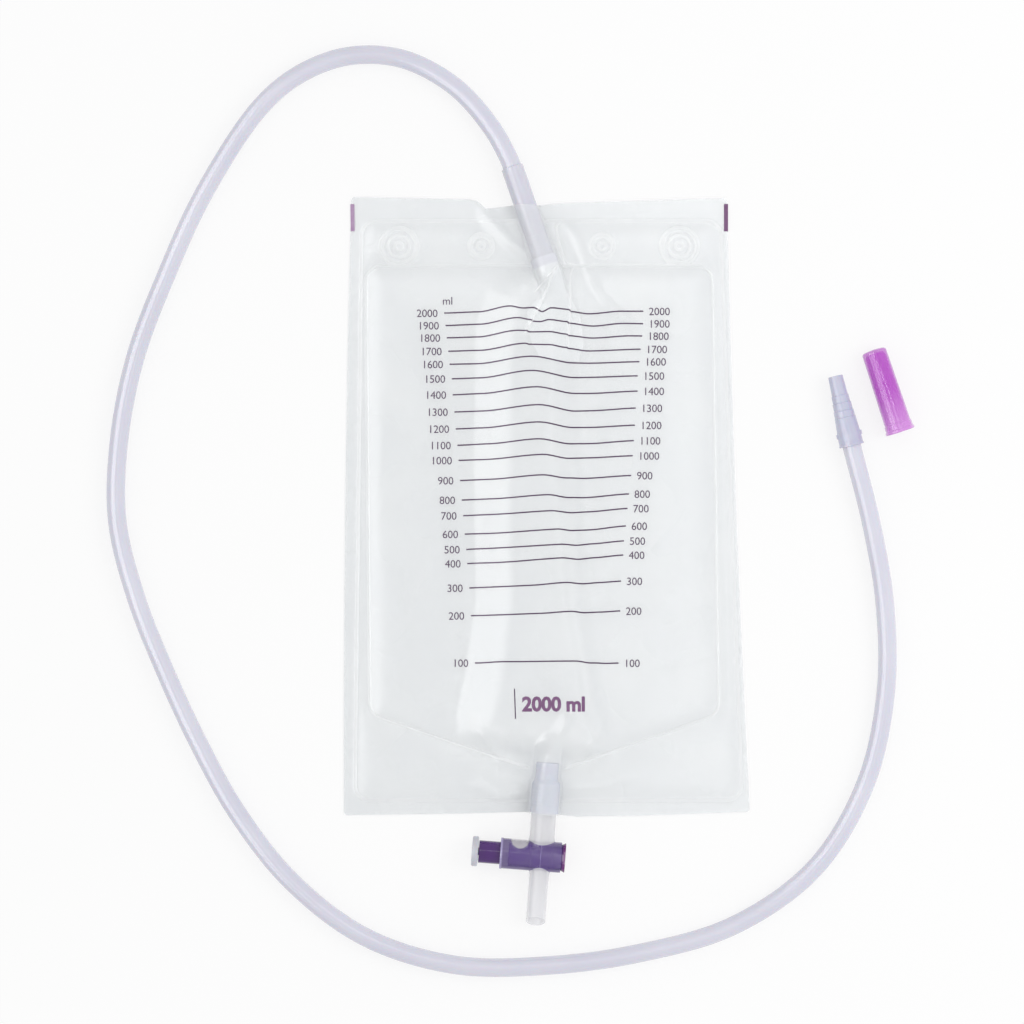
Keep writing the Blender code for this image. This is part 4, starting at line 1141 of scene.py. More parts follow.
    def outline(self, step: float) -> np.ndarray:
        """Return the bag's outline, anticlockwise.

        Args:
            step: The longest stretch between its points.

        Returns:
            The outline's points, one a row.
        """
        corners = [
            (self.edge_x(-1, self.top_y), self.top_y + self.top_rises[0]),
            (self.edge_x(-1, self.foot_y), self.foot_y + self.foot_rises[0]),
            (self.edge_x(1, self.foot_y), self.foot_y + self.foot_rises[1]),
            (self.edge_x(1, self.top_y), self.top_y + self.top_rises[1]),
        ]
        neighbours = zip(corners[-1:] + corners, corners, corners[1:] + corners)
        arcs = [rounded(list(three), self.corner_radius, self.corner_steps)[1:-1]
                for three in neighbours]
        foot = np.array(self.gathered_foot) + (0.0, self.foot_y)
        top = np.array(self.pleated_top)[::-1] + (0.0, self.top_y)
        loop = resampled(np.concatenate([*arcs[:2], foot, *arcs[2:], top, arcs[0][:1]]), step)[:-1]
        loop[:, 0] += self.bow((self.top_y - loop[:, 1]) / self.length)
        return loop

    def beside_inlet(self, side: int, y: float) -> float:
        """Return the X just past the film over the inlet sleeve, at a height."""
        middle = self.inlet_foot_x - (y - self.reservoir_top) * math.tan(self.inlet_lean)
        return middle + side * (self.inlet.reach + self.weld_clearance) / math.cos(self.inlet_lean)

    def beside_outlet(self, side: int, y: float) -> float:
        """Return the X just past the film over the outlet sleeve, at a height."""
        middle = self.tap_cross_x + (y - self.tap_centre.y) * math.tan(self.tap_lean)
        return middle + side * (self.outlet.reach + self.weld_clearance)

    def weld_lines(self) -> list[np.ndarray]:
        """Draw the crests of the weld lines.

        Returns:
            The outer weld's left and right side, the reservoir's left and right side and the
            short one at the inlet's foot, each as points one a row.
        """
        top, foot = self.top_y - self.outer_top_drop, self.foot_y + self.outer_foot_rise
        outer, inner = [], []
        for side, inset in zip((-1, 1), self.outer_insets):
            outer.append(rounded([
                (self.beside_inlet(side, top), top),
                (self.edge_x(side, top) - side * inset, top),
                (self.edge_x(side, foot) - side * inset, foot),
                (self.beside_outlet(side, foot), foot),
            ], self.outer_radius, self.weld_steps))
        top, mouth = self.reservoir_top, self.foot_y + self.mouth_rise
        shoulder = self.foot_y + self.shoulder_rise
        for side in (-1, 1):
            inner.append(rounded([
                (self.beside_inlet(side, top), top),
                (self.edge_x(side, top) - side * self.reservoir_inset, top),
                (self.edge_x(side, shoulder) - side * self.shoulder_inset, shoulder),
                (self.beside_outlet(side, mouth), mouth),
            ], self.reservoir_radius, self.weld_steps))
        inlet = rounded(self.inlet_weld, self.inlet_weld_radius, self.inlet_weld_steps)
        return [*outer, *inner, inlet]

    def eye_rings(self) -> list[tuple[float, float, float]]:
        """List the embossed rings of the four hanger eyes.

        Returns:
            The centre and the crest radius of each ring.
        """
        row = self.top_y - self.eye_row_drop
        rings = []
        for side in (-1, 1):
            x = self.edge_x(side, row) - side * self.large_eye_inset
            rings += [(x, row, radius) for radius in self.large_eye_radii]
        for x in self.small_eye_places:
            rings += [(x, row, radius) for radius in self.small_eye_radii]
        return rings

    def from_welds(self, points: np.ndarray) -> np.ndarray:
        """Return each point's distance from the nearest weld line."""
        return np.min([line_distance(points, line)[0] for line in self.welds], axis=0)

    def from_rings(self, points: np.ndarray) -> np.ndarray:
        """Return each point's distance from the nearest embossed ring."""
        return np.min([np.abs(np.hypot(points[:, 0] - x, points[:, 1] - y) - radius)
                       for x, y, radius in self.rings], axis=0)

    def air(self, points: np.ndarray) -> np.ndarray:
        """Work out how far the trapped air lifts the film.

        Args:
            points: The points, one a row.

        Returns:
            The lift at each point.
        """
        puff = np.where(is_inside(points, self.reservoir), self.reservoir_puff,
                        np.where(is_inside(points, self.header), self.header_puff, 0.0))
        puff = puff * (1 - np.exp(-self.from_welds(points) / self.puff_reach))
        left, right = np.array(self.bulge_left), np.array(self.bulge_right)
        swell = is_inside(points, np.concatenate([left, right[::-1]])).astype(float)
        ends = np.array([left[-1], right[-1]])
        for line, width in zip((left, right, ends), (*self.bulge_flanks, self.bulge_end)):
            share = np.minimum(line_distance(points, line)[0] / width, 1.0)
            swell *= np.sin(math.pi / 2 * share) ** self.bulge_power
        onset = smoothstep(puff / (self.bulge_onset * self.reservoir_puff))
        return puff + self.bulge_height * swell * onset

    def ridges(self, points: np.ndarray) -> np.ndarray:
        """Work out the relief of the double weld lines and of the embossed rings.

        Args:
            points: The points, one a row.

        Returns:
            The height at each point.
        """
        lift = np.zeros(len(points))
        for line in self.welds:
            distance = line_distance(points, line)[0]
            away = (distance - self.weld_ridge_offset) / self.weld_ridge_width
            lift = np.maximum(lift, self.weld_height * np.exp(-away * away))
        away = self.from_rings(points) / self.ring_half_width
        return np.maximum(lift, self.ring_height * np.exp(-self.ring_softness * away * away))

    def waves(self, points: np.ndarray) -> np.ndarray:
        """Work out the small unevenness of limp film.

        Args:
            points: The points, one a row.

        Returns:
            The height at each point.
        """
        return np.array([sum(noise.noise(Vector((x * wide, y * high, layer))) * height
                             for wide, high, layer, height in self.wave_layers)
                         for x, y in points])

    def underside(self, points: np.ndarray) -> np.ndarray:
        """Work out the front film's underside.

        Args:
            points: The points, one a row.

        Returns:
            The height at each point.
        """
        inlet, outlet = self.inlet.tent(points), self.outlet.tent(points)
        air = self.air(points)
        power = self.blend_power
        height = self.base + (air ** power + inlet ** power + outlet ** power) ** (1 / power)
        free = 1 - smoothstep(np.maximum(inlet, outlet) / self.reservoir_puff)
        folds = np.sum([fold.lift(points) for fold in self.folds], axis=0)
        loose = smoothstep(air / self.header_puff)
        waves = (self.waves(points) + self.wave_lift) * loose
        return height + folds + waves * free + self.ridges(points)


@dataclass
class FilmSheets:
    """The bag's front and back films."""

    form: BagForm
    lattice: float = 0.0017
    lattice_clearance: float = 0.6
    line_step: float = 0.0022
    line_offsets: tuple[float, ...] = (-1.0, -0.5, 0.0, 0.5, 1.0)
    weld_half_width: float = 0.00095
    ring_step: float = 0.0014
    ring_offset: float = 0.00075
    ring_least_steps: int = 12
    # Share of a crisp crease's half width, round its crest, that gets the painted highlight.
    whitened_share: float = 0.4
    back_step: float = 0.0060
    back_lift: Span = (0.00004, 0.00010)
    back_waves: Span = (30.0, 9.2)

    def plan(self, step: float, lines: list[np.ndarray]) -> tuple[np.ndarray, np.ndarray]:
        """Triangulate the bag's plan round a set of lines.

        Args:
            step: The distance between the points of the lattice.
            lines: The lines that the triangles follow.

        Returns:
            The points and the triangles, one a row.
        """
        outline = self.form.outline(step)
        fixed = np.concatenate([outline, *lines])
        low, high = outline.min(axis=0), outline.max(axis=0)
        rows = []
        for index, y in enumerate(np.arange(low[1], high[1], step * math.sqrt(3) / 2)):
            x = np.arange(low[0] + index % 2 * step / 2, high[0], step)
            rows.append(np.stack([x, np.full(len(x), y)], axis=1))
        grid = np.concatenate(rows)
        grid = grid[is_inside(grid, outline)]
        taken = {}
        cell = step * self.lattice_clearance
        for x, y in fixed:
            taken.setdefault((math.floor(x / cell), math.floor(y / cell)), []).append((x, y))
        kept = []
        for x, y in grid:
            column, row = math.floor(x / cell), math.floor(y / cell)
            near = [other for dx in (-1, 0, 1) for dy in (-1, 0, 1)
                    for other in taken.get((column + dx, row + dy), ())]
            if all(math.hypot(x - a, y - b) > cell for a, b in near):
                kept.append((x, y))
        count = len(outline)
        edges = [(index, (index + 1) % count) for index in range(count)]
        first = count
        for line in lines:
            edges += [(first + index, first + index + 1) for index in range(len(line) - 1)]
            first += len(line)
        result = delaunay_2d_cdt([Vector(point) for point in [*fixed, *kept]], edges,
                                 [list(range(count))], CUT_TO_OUTLINE, JOIN_DISTANCE)
        return np.array([tuple(point) for point in result[0]]), np.array(result[2])

    def guide_lines(self) -> list[np.ndarray]:
        """Draw the lines that the front film's triangles follow.

        Returns:
            The lines, each as points one a row.
        """
        lines = []
        for weld in self.form.welds:
            crest = resampled(weld, self.line_step)
            lines += [offset_line(crest, offset * self.weld_half_width)
                      for offset in self.line_offsets]
        for x, y, radius in self.form.rings:
            for offset in (-self.ring_offset, 0.0, self.ring_offset):
                around = 2 * math.pi * (radius + offset)
                count = max(self.ring_least_steps, round(around / self.ring_step))
                turns = np.linspace(0.0, 2 * math.pi, count + 1)
                circle = np.stack([np.cos(turns), np.sin(turns)], axis=1) * (radius + offset)
                lines.append(circle + np.array((x, y)))
        white = self.whitened_share
        for fold in self.form.folds:
            if fold.crisp:
                crest = resampled(np.array(fold.crest), self.line_step)
                lines += [offset_line(crest, offset * fold.half_width)
                          for offset in (-1.0, -white, 0.0, white, 1.0)]
        outline = self.form.outline(self.lattice)
        sleeves = self.form.inlet.guide_lines() + self.form.outlet.guide_lines()
        return lines + [line[is_inside(line, outline)] for line in sleeves]

    def skins(self, points: np.ndarray) -> np.ndarray:
        """Tell what the film is like at each point.

        Args:
            points: The points, one a row.

        Returns:
            The skin at each point.
        """
        fused = self.form.from_welds(points) < self.weld_half_width
        fused |= self.form.from_rings(points) < self.form.ring_half_width
        skins = np.where(fused, int(Skin.FUSED), int(Skin.CLEAR))
        creases = np.min([line_distance(points, np.array(fold.crest))[0] / fold.half_width
                          for fold in self.form.folds if fold.crisp], axis=0)
        # The crests of the crisp creases get the film with the painted highlight.
        skins[creases < self.whitened_share] = Skin.CREASED
        for sleeve in (self.form.inlet, self.form.outlet):
            along, side = sleeve.local(points)
            over = (along < sleeve.length) & (np.abs(side) < sleeve.reach_at(along))
            skins[over] = Skin.CLINGING
        return skins

    def build_front(self) -> BVHTree:
        """Build the front film.

        Returns:
            Its top surface, to lay the print on.
        """
        points, triangles = self.plan(self.lattice, self.guide_lines())
        verts, faces = closed_sheet(points, triangles, self.form.underside(points), self.form.film)
        front = add_piece("front_film_sheet", verts, faces, FILM.material(), slot=Slot.FILM)
        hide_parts("front_film")
        for finish in (FUSED_FILM, CREST_HIGHLIGHT_FILM, CLINGING_FILM):
            front.data.materials.append(finish.material())
        skins = self.skins(points[triangles].mean(axis=1))
        indices = np.zeros(len(front.data.polygons), np.int32)
        indices[:2 * len(skins)] = np.tile(skins, 2)
        front.data.polygons.foreach_set("material_index", indices)
        top = [tuple(int(i) for i in triangle) for triangle in triangles]
        return BVHTree.FromPolygons([tuple(v) for v in verts[len(points):].tolist()], top)

    def build_back(self) -> None:
        """Build the back film."""
        points, triangles = self.plan(self.back_step, [])
        scale, layer = self.back_waves
        rise = np.array([noise.noise(Vector((x * scale, y * scale, layer))) for x, y in points])
        least, more = self.back_lift
        under = least + more * np.clip(0.5 + rise, 0.0, 1.0)
        verts, faces = closed_sheet(points, triangles, under, self.form.film)
        back = add_piece("back_film_sheet", verts, faces, BACK_FILM.material(), slot=Slot.FILM,
                         lets_light_through=False)
        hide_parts("back_film")

    def build(self) -> BVHTree:
        """Build both films, and return the front one's top surface."""
        surface = self.build_front()
        self.build_back()
        return surface


@dataclass(frozen=True)
class ScaleMark:
    """One line of the volume scale, with its two ends and the wander of its middle."""

    volume: int
    left: Span
    right: Span
    wander: Points


@dataclass
class ScalePrint:
    """The plum print on the front film: volume scale, capacity and corner bars."""

    surface: BVHTree
    clearance: float = 0.00003
    ink: float = 0.00003
    line_width: float = 0.00074
    digit_height: float = 0.0043
    capital_share: float = 0.73
    letter_spacing: float = 0.97
    outline_steps: int = 3
    figure_gaps: Span = (0.0034, 0.0029)
    unit_place: Span = (-0.0505, 0.1105)
    capacity_place: Span = (-0.0134, -0.1056)
    capacity_height: float = 0.0078
    capacity_bold: float = 0.0004
    rule_ends: tuple[Span, Span] = ((-0.0175, -0.0976), (-0.0169, -0.1137))
    rule_width: float = 0.0006
    left_bar: tuple[Span, Span] = ((-0.1046, 0.1624), (-0.1044, 0.1479))
    right_bar: tuple[Span, Span] = ((0.0962, 0.1625), (0.0962, 0.1478))
    bar_width: float = 0.0022
    step: float = 0.0007
    longest_edge: float = 0.0011
    edge_cuts: int = 3
    ray_start: float = 0.1
    height_beside: float = 0.001
    marks: tuple[ScaleMark, ...] = (
        ScaleMark(2000, (-0.0552, 0.1038), (0.0517, 0.1048), [
            (-0.0371, 0.00048), (-0.0199, 0.00328), (-0.0127, 0.00204), (-0.0074, 0.00226),
            (-0.0026, 0.00006), (0.0022, 0.00201), (0.0118, 0.00122), (0.0129, 0.00003),
            (0.0226, -0.00113), (0.0403, 0.00010),
        ]),
        ScaleMark(1900, (-0.0545, 0.0971), (0.0516, 0.0981), [
            (-0.0360, 0.00052), (-0.0157, 0.00366), (-0.0086, 0.00252), (-0.0075, 0.00159),
            (-0.0038, 0.00139), (0.0010, 0.00242), (0.0108, 0.00136), (0.0118, 0.00049),
            (0.0249, -0.00103), (0.0403, 0.00022),
        ]),
        ScaleMark(1800, (-0.0538, 0.0905), (0.0511, 0.0915), [
            (-0.0372, 0.00032), (-0.0157, 0.00345), (-0.0108, 0.00329), (-0.0097, 0.00253),
            (0.0010, 0.00258), (0.0106, 0.00125), (0.0116, 0.00044), (0.0247, -0.00087),
            (0.0441, 0.00012),
        ]),
        ScaleMark(1700, (-0.0530, 0.0833), (0.0502, 0.0844), [
            (-0.0360, 0.00030), (-0.0115, 0.00363), (-0.0097, 0.00307), (0.0004, 0.00280),
            (0.0106, 0.00124), (0.0116, 0.00064), (0.0225, -0.00066),
        ]),
        ScaleMark(1600, (-0.0523, 0.0763), (0.0496, 0.0777), [
            (-0.0378, 0.00008), (-0.0086, 0.00351), (0.0145, -0.00024), (0.0231, -0.00046),
        ]),
        ScaleMark(1500, (-0.0511, 0.0685), (0.0487, 0.0701), [
            (-0.0360, 0.00025), (-0.0086, 0.00364), (0.0151, -0.00044), (0.0231, -0.00041),
        ]),
        ScaleMark(1400, (-0.0506, 0.0599), (0.0486, 0.0619), [
            (-0.0355, 0.00035), (-0.0061, 0.00327), (0.0151, -0.00058), (0.0231, -0.00074),
        ]),
        ScaleMark(1300, (-0.0497, 0.0507), (0.0476, 0.0528), [
            (-0.0349, 0.00016), (-0.0049, 0.00283), (0.0156, -0.00096), (0.0242, -0.00093),
        ]),
        ScaleMark(1200, (-0.0490, 0.0416), (0.0472, 0.0436), [
            (-0.0349, 0.00024), (-0.0049, 0.00272), (0.0145, -0.00060), (0.0242, -0.00069),
        ]),
        ScaleMark(1100, (-0.0481, 0.0328), (0.0466, 0.0353), [
            (-0.0317, 0.00032), (-0.0049, 0.00226), (0.0134, -0.00086), (0.0231, -0.00095),
        ]),
        ScaleMark(1000, (-0.0475, 0.0247), (0.0460, 0.0272), [
            (-0.0333, 0.00010), (-0.0027, 0.00196), (0.0124, -0.00054), (0.0231, -0.00051),
        ]),
        ScaleMark(900, (-0.0467, 0.0139), (0.0452, 0.0166), [
            (-0.0306, 0.00018), (-0.0027, 0.00172), (0.0113, -0.00035), (0.0204, -0.00083),
        ]),
        ScaleMark(800, (-0.0458, 0.0034), (0.0439, 0.0067), [
            (-0.0290, 0.00008), (0.0000, 0.00120), (0.0124, -0.00082), (0.0204, -0.00112),
        ]),
        ScaleMark(700, (-0.0450, -0.0050), (0.0432, -0.0011), [
            (-0.0280, 0.00000), (0.0016, 0.00064), (0.0140, -0.00097), (0.0220, -0.00090),
        ]),
        ScaleMark(600, (-0.0442, -0.0149), (0.0423, -0.0105), [
            (-0.0290, -0.00029), (0.0054, 0.00027), (0.0140, -0.00098), (0.0220, -0.00112),
        ]),
        ScaleMark(500, (-0.0433, -0.0231), (0.0413, -0.0185), [
            (-0.0269, -0.00009), (0.0070, 0.00010), (0.0167, -0.00097), (0.0242, -0.00068),
        ]),
        ScaleMark(400, (-0.0428, -0.0307), (0.0409, -0.0261), [
            (-0.0253, -0.00026), (0.0075, 0.00037), (0.0177, -0.00094), (0.0253, -0.00060),
        ]),
        ScaleMark(300, (-0.0417, -0.0438), (0.0397, -0.0401), [
            (-0.0081, 0.00006), (0.0097, 0.00074), (0.0199, -0.00048), (0.0274, -0.00029),
        ]),
        ScaleMark(200, (-0.0409, -0.0587), (0.0393, -0.0561), [
            (-0.0038, 0.00023), (0.0124, 0.00078), (0.0210, -0.00031), (0.0285, -0.00029),
        ]),
        ScaleMark(100, (-0.0387, -0.0840), (0.0384, -0.0841), [
            (-0.0226, 0.00088), (0.0151, 0.00126), (0.0242, 0.00014), (0.0317, -0.00017),
        ]),
    )

    def height(self, x: float, y: float) -> float:
        """Return the film's top at a point."""
        hit = self.surface.ray_cast(Vector((x, y, self.ray_start)), Vector((0.0, 0.0, -1.0)))[0]
        return hit.z if hit is not None else self.height_beside

    def ribbon(self, path: np.ndarray, width: float) -> Shape:
        """Lay a flat strip of ink along a path on the film.

        Args:
            path: The strip's middle line, one point a row.
            width: The strip's width.

        Returns:
            The strip's points and faces.
        """
        verts = []
        edges = [offset_line(path, width / 2), offset_line(path, -width / 2)]
        for left, right in zip(*edges):
            for (x, y), top in ((left, 0), (left, 1), (right, 1), (right, 0)):
                verts.append((x, y, self.height(x, y) + self.clearance + top * self.ink))
        faces = [(0, 1, 2, 3), tuple(len(verts) - 4 + i for i in (3, 2, 1, 0))]
        for index in range(len(path) - 1):
            here, there = index * 4, index * 4 + 4
            for one, other in ((0, 1), (1, 2), (2, 3), (3, 0)):
                faces.append((here + one, there + one, there + other, here + other))
        return verts, faces

    def mark_path(self, mark: ScaleMark) -> np.ndarray:
        """Return the middle line of one scale line.

        Args:
            mark: The scale line.

        Returns:
            Its points, one a row.
        """
        left, right = np.array(mark.left), np.array(mark.right)
        count = max(2, round(np.linalg.norm(right - left) / self.step))
        x = np.linspace(left[0], right[0], count)
        y = left[1] + (right[1] - left[1]) * (x - left[0]) / (right[0] - left[0])
        knots = [(left[0], 0.0), *mark.wander, (right[0], 0.0)]
        for (x0, y0), (x1, y1) in zip(knots, knots[1:]):
            here = (x >= x0) & (x <= x1)
            y[here] += y0 + (y1 - y0) * smoothstep((x[here] - x0) / (x1 - x0))
        return np.stack([x, y], axis=1)

    def rule(self, ends: tuple[Span, Span], width: float) -> Shape:
        """Return a straight strip of ink between two points."""
        return self.ribbon(resampled(np.array(ends), self.step), width)

    def cut_edges(self, mesh: bpy.types.Mesh) -> None:
        """Cut a mesh's long edges, so that it can follow the film.

        Args:
            mesh: The mesh.
        """
        bm = bmesh.new()
        bm.from_mesh(mesh)
        bmesh.ops.triangulate(bm, faces=bm.faces)
        for _ in range(self.edge_cuts):
            long = [edge for edge in bm.edges if edge.calc_length() > self.longest_edge]
            bmesh.ops.subdivide_edges(bm, edges=long, cuts=1)
            bmesh.ops.triangulate(bm, faces=bm.faces)
        bm.to_mesh(mesh)
        bm.free()

    def lettering(
        self, text: str, place: Span, size: float, align: str, bold: float = 0.0
    ) -> Shape:
        """Lay figures on the film.

        Args:
            text: The figures.
            place: The middle of their left or right end.
            size: The figures' height.
            align: LEFT or RIGHT.
            bold: How much to thicken the strokes.

        Returns:
            The figures' points and faces.
        """
        curve = bpy.data.curves.new("figures", "FONT")
        curve.body = text
        curve.size = size / self.capital_share
        curve.space_character = self.letter_spacing
        curve.align_x = align
        curve.extrude = self.ink / 2
        curve.offset = bold
        curve.resolution_u = self.outline_steps
        carrier = bpy.data.objects.new("figures", curve)
        bpy.context.scene.collection.objects.link(carrier)
        mesh = bpy.data.meshes.new_from_object(carrier)
        self.cut_edges(mesh)
        verts = []
        for vert in mesh.vertices:
            x, y = place[0] + vert.co.x, place[1] + vert.co.y - size / 2
            verts.append((x, y, self.height(x, y) + self.clearance + self.ink / 2 + vert.co.z))
        faces = [tuple(polygon.vertices) for polygon in mesh.polygons]
        bpy.data.objects.remove(carrier)
        bpy.data.meshes.remove(mesh)
        return verts, faces

    def add_print(self, name: str, shapes: list[Shape], finish: InkFinish) -> None:
        """Join several printed shapes into one piece.

        Args:
            name: The piece's name.
            shapes: The shapes.
            finish: The ink.
        """
        verts, faces = [], []
        for points, polygons in shapes:
            first = len(verts)
            verts += points
            faces += [tuple(first + index for index in polygon) for polygon in polygons]
        add_piece(name, verts, faces, finish.material(), crease=INK_CREASE)

    def build(self) -> None:
        """Build the scale's lines and figures, the capacity and the corner bars."""
        lines = [self.ribbon(self.mark_path(mark), self.line_width) for mark in self.marks]
        self.add_print("scale_lines", lines, SCALE_INK)
        figures = []
        for mark in self.marks:
            for (x, y), gap, align in ((mark.left, -self.figure_gaps[0], "RIGHT"),
                                       (mark.right, self.figure_gaps[1], "LEFT")):
                place = (x + gap, y)
                figures.append(self.lettering(str(mark.volume), place, self.digit_height, align))
        figures.append(self.lettering("ml", self.unit_place, self.digit_height, "RIGHT"))
        self.add_print("scale_figures", figures, SCALE_INK)
        capacity = self.lettering("2000 ml", self.capacity_place, self.capacity_height, "LEFT",
                                  self.capacity_bold)
        self.add_print("capacity_figures", [capacity], PLUM_INK)
        self.add_print("capacity_rule", [self.rule(self.rule_ends, self.rule_width)], SCALE_INK)
        self.add_print("corner_bar_left", [self.rule(self.left_bar, self.bar_width)], PALE_INK)
        self.add_print("corner_bar_right", [self.rule(self.right_bar, self.bar_width)], PLUM_INK)


@dataclass
class FlutterValve:
    """The two films of the non-return valve below the inlet sleeve."""

    form: BagForm
    thickness: float = 0.00022
    overlap: float = 0.0050
    length: float = 0.0560
    half_width: float = 0.0145
    neck_inset: float = 0.0001
    neck_length: float = 0.0180
    fade: float = 0.0150
    counter_lean: float = 0.3
    foot_start: float = 0.8
    foot_share: float = 0.2
    foot_narrowing: float = 0.25
    rows: int = 40
    columns: int = 28

    def centre(self, along: float) -> tuple[Vector, Vector]:
        """Return the valve's middle line at a distance past its upper edge.

        Args:
            along: The distance.

        Returns:
            The point and the direction of the line there.
        """
        inlet = self.form.inlet
        lean = self.form.inlet_lean
        straight = 2 * self.overlap
        start = inlet.mouth + inlet.direction * (inlet.length - self.overlap)
        if along <= straight:
            return start + inlet.direction * along, inlet.direction
        here = lean * max(1 - (along - straight) / self.fade, -self.counter_lean)
        mean = (lean + here) / 2
        run = Vector((math.sin(mean), -math.cos(mean)))
        bend = start + inlet.direction * straight
        return bend + run * (along - straight), Vector((math.sin(here), -math.cos(here)))

    def width_at(self, along: float) -> float:
        """Return the flap's half width.

        Args:
            along: The distance past its upper edge.

        Returns:
            The half width there.
        """
        neck = self.form.inlet.reach - self.neck_inset
        widen = float(smoothstep((along - self.neck_length) / self.fade))
        foot = float(smoothstep((along / self.length - self.foot_start) / self.foot_share))
        return (neck + (self.half_width - neck) * widen) * (1 - self.foot_narrowing * foot)

    def rise_at(self, along: float, side: float) -> float:
        """Return the front flap's underside, round the sleeve at its neck.

        Args:
            along: The distance past the flap's upper edge.
            side: The distance to one side of its middle.

        Returns:
            The height.
        """
        inlet = self.form.inlet
        radius = inlet.diameter / 2 + inlet.clearance
        bend = radius * math.sin(inlet.tent_angle)
        if abs(side) < bend:
            height = inlet.axis_z + math.sqrt(radius * radius - side * side)
        else:
            height = inlet.axis_z + radius * math.cos(inlet.tent_angle)
            height -= (abs(side) - bend) * math.tan(inlet.tent_angle)
        past = max(along - self.overlap, 0.0) / self.fade
        rise = max(height - self.form.base, 0.0) * math.exp(-past * past)
        return max(self.form.base + rise, self.form.base + self.thickness + self.form.gap)

    def flap(self, start: float) -> tuple[np.ndarray, Faces]:
        """Work out one flap's film.

        Args:
            start: Its distance from the valve's upper edge. The front flap starts there.

        Returns:
            The film's points and faces.
        """
        points, heights, triangles = [], [], []
        for row in range(self.rows + 1):
            along = start + (self.length - start) * row / self.rows
            middle, run = self.centre(along)
            across = Vector((-run.y, run.x))
            for column in range(self.columns + 1):
                side = (2 * column / self.columns - 1) * self.width_at(along)
                points.append(tuple(middle + across * side))
                heights.append(self.form.base if start else self.rise_at(along, side))
        for row in range(self.rows):
            for column in range(self.columns):
                corner = row * (self.columns + 1) + column
                below = corner + self.columns + 1
                triangles += [(corner, below, below + 1), (corner, below + 1, corner + 1)]
        return closed_sheet(np.array(points), np.array(triangles), np.array(heights),
                            self.thickness)

    def build(self) -> None:
        """Build both flaps."""
        material = VALVE_FILM.material()
        clear = self.overlap + self.form.gap + self.thickness
        for name, start in (("valve_front_flap", 0.0), ("valve_back_flap", clear)):
            flap = add_piece(name + "_film", *self.flap(start), material, slot=Slot.VALVE)
            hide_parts(name)


def rib(place: float, radius: float, pitch: float, height: float) -> Points:
    """Return the groove before one rib of a sleeve, as points of its profile.

    Args:
        place: Where along the sleeve the groove starts.
        radius: The sleeve's radius there.
        pitch: The distance from rib to rib.
        height: The groove's depth.

    Returns:
        The points.
    """
    return [(place, radius), (place + GROOVE_BOTTOM * pitch, radius - height),
            (place + GROOVE_END * pitch, radius)]


def add_sleeve(sleeve: Sleeve, profile: Points, turn: float, finish: VinylFinish, node: str,
               slot: Slot) -> None:
    """Make a sleeve's piece.

    Args:
        sleeve: Where it lies.
        profile: Its ring section.
        turn: Its turn round Z.
        finish: Its vinyl.
        node: The node that it replaces.
        slot: A material slot name, handed on to add_piece.
    """
    place = Matrix.Translation((sleeve.mouth.x, sleeve.mouth.y, sleeve.axis_z))
    verts, faces = spun(profile, place @ Matrix.Rotation(turn, 4, "Z"))
    piece = add_piece(node + "_vinyl", verts, faces, finish.material(), slot, SLEEVE_CREASE)
    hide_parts(node)


@dataclass
class InletSleeve:
    """The soft sleeve that takes the drainage tube, ribbed by its weld at the foot."""

    form: BagForm
    bore: float = 0.0106
    ribs: int = 11
    rib_pitch: float = 0.0016
    rib_height: float = 0.00016

    def build(self) -> None:
        """Build the sleeve."""
        sleeve = self.form.inlet
        outer, inner = sleeve.diameter / 2, self.bore / 2
        edge = (outer - inner) / 3
        profile = [(0.0, inner + edge / 2), (0.0, outer - edge), (edge, outer)]
        start = sleeve.length - self.ribs * self.rib_pitch
        for index in range(self.ribs):
            place = start + index * self.rib_pitch
            profile += rib(place, outer, self.rib_pitch, self.rib_height)
        profile += [(sleeve.length, outer), (sleeve.length, inner), (edge, inner)]
        add_sleeve(sleeve, profile, math.pi + self.form.inlet_lean, INLET_VINYL, "inlet_sleeve",
                   Slot.TUBE)


@dataclass
class OutletSleeve:
    """The soft outlet sleeve, stretched over the tap's spigot."""

    form: BagForm
    wall: float = 0.0007
    edge: float = 0.0002
    neck_diameter: float = 0.0124
    spigot_insertion: float = 0.0150
    taper: float = 0.0030
    taper_steps: int = 6
    rib_pitch: float = 0.0017
    rib_height: float = 0.00012

    def build(self) -> None:
        """Build the sleeve."""
        form = self.form
        outer = form.outlet_diameter / 2
        inner = outer - self.wall
        neck = self.neck_diameter / 2
        foot = form.tap_drop
        stretched = foot + self.spigot_insertion + form.gap
        top = foot + form.outlet_length
        profile = [(foot, inner), (foot, outer - self.edge), (foot + self.edge, outer)]
        place = foot + 2 * self.rib_pitch
        while place < stretched - self.rib_pitch:
            profile += rib(place, outer, self.rib_pitch, self.rib_height)
            place += self.rib_pitch
        profile.append((stretched, outer))
        for step in range(1, self.taper_steps):
            turn = float(smoothstep(step / self.taper_steps))
            profile.append((stretched + self.taper * step / self.taper_steps,
                            outer + (neck - outer) * turn))
        place = stretched + self.taper
        profile.append((place, neck))
        while place < top - 2 * self.rib_pitch:
            place += self.rib_pitch
            profile += rib(place, neck, self.rib_pitch, self.rib_height)
        profile += [(top, neck), (top, neck - self.wall),
                    (stretched + self.taper, neck - self.wall), (stretched, inner)]
        add_sleeve(form.outlet, profile, -form.tap_lean, OUTLET_VINYL, "outlet_sleeve",
                   Slot.OUTLET)


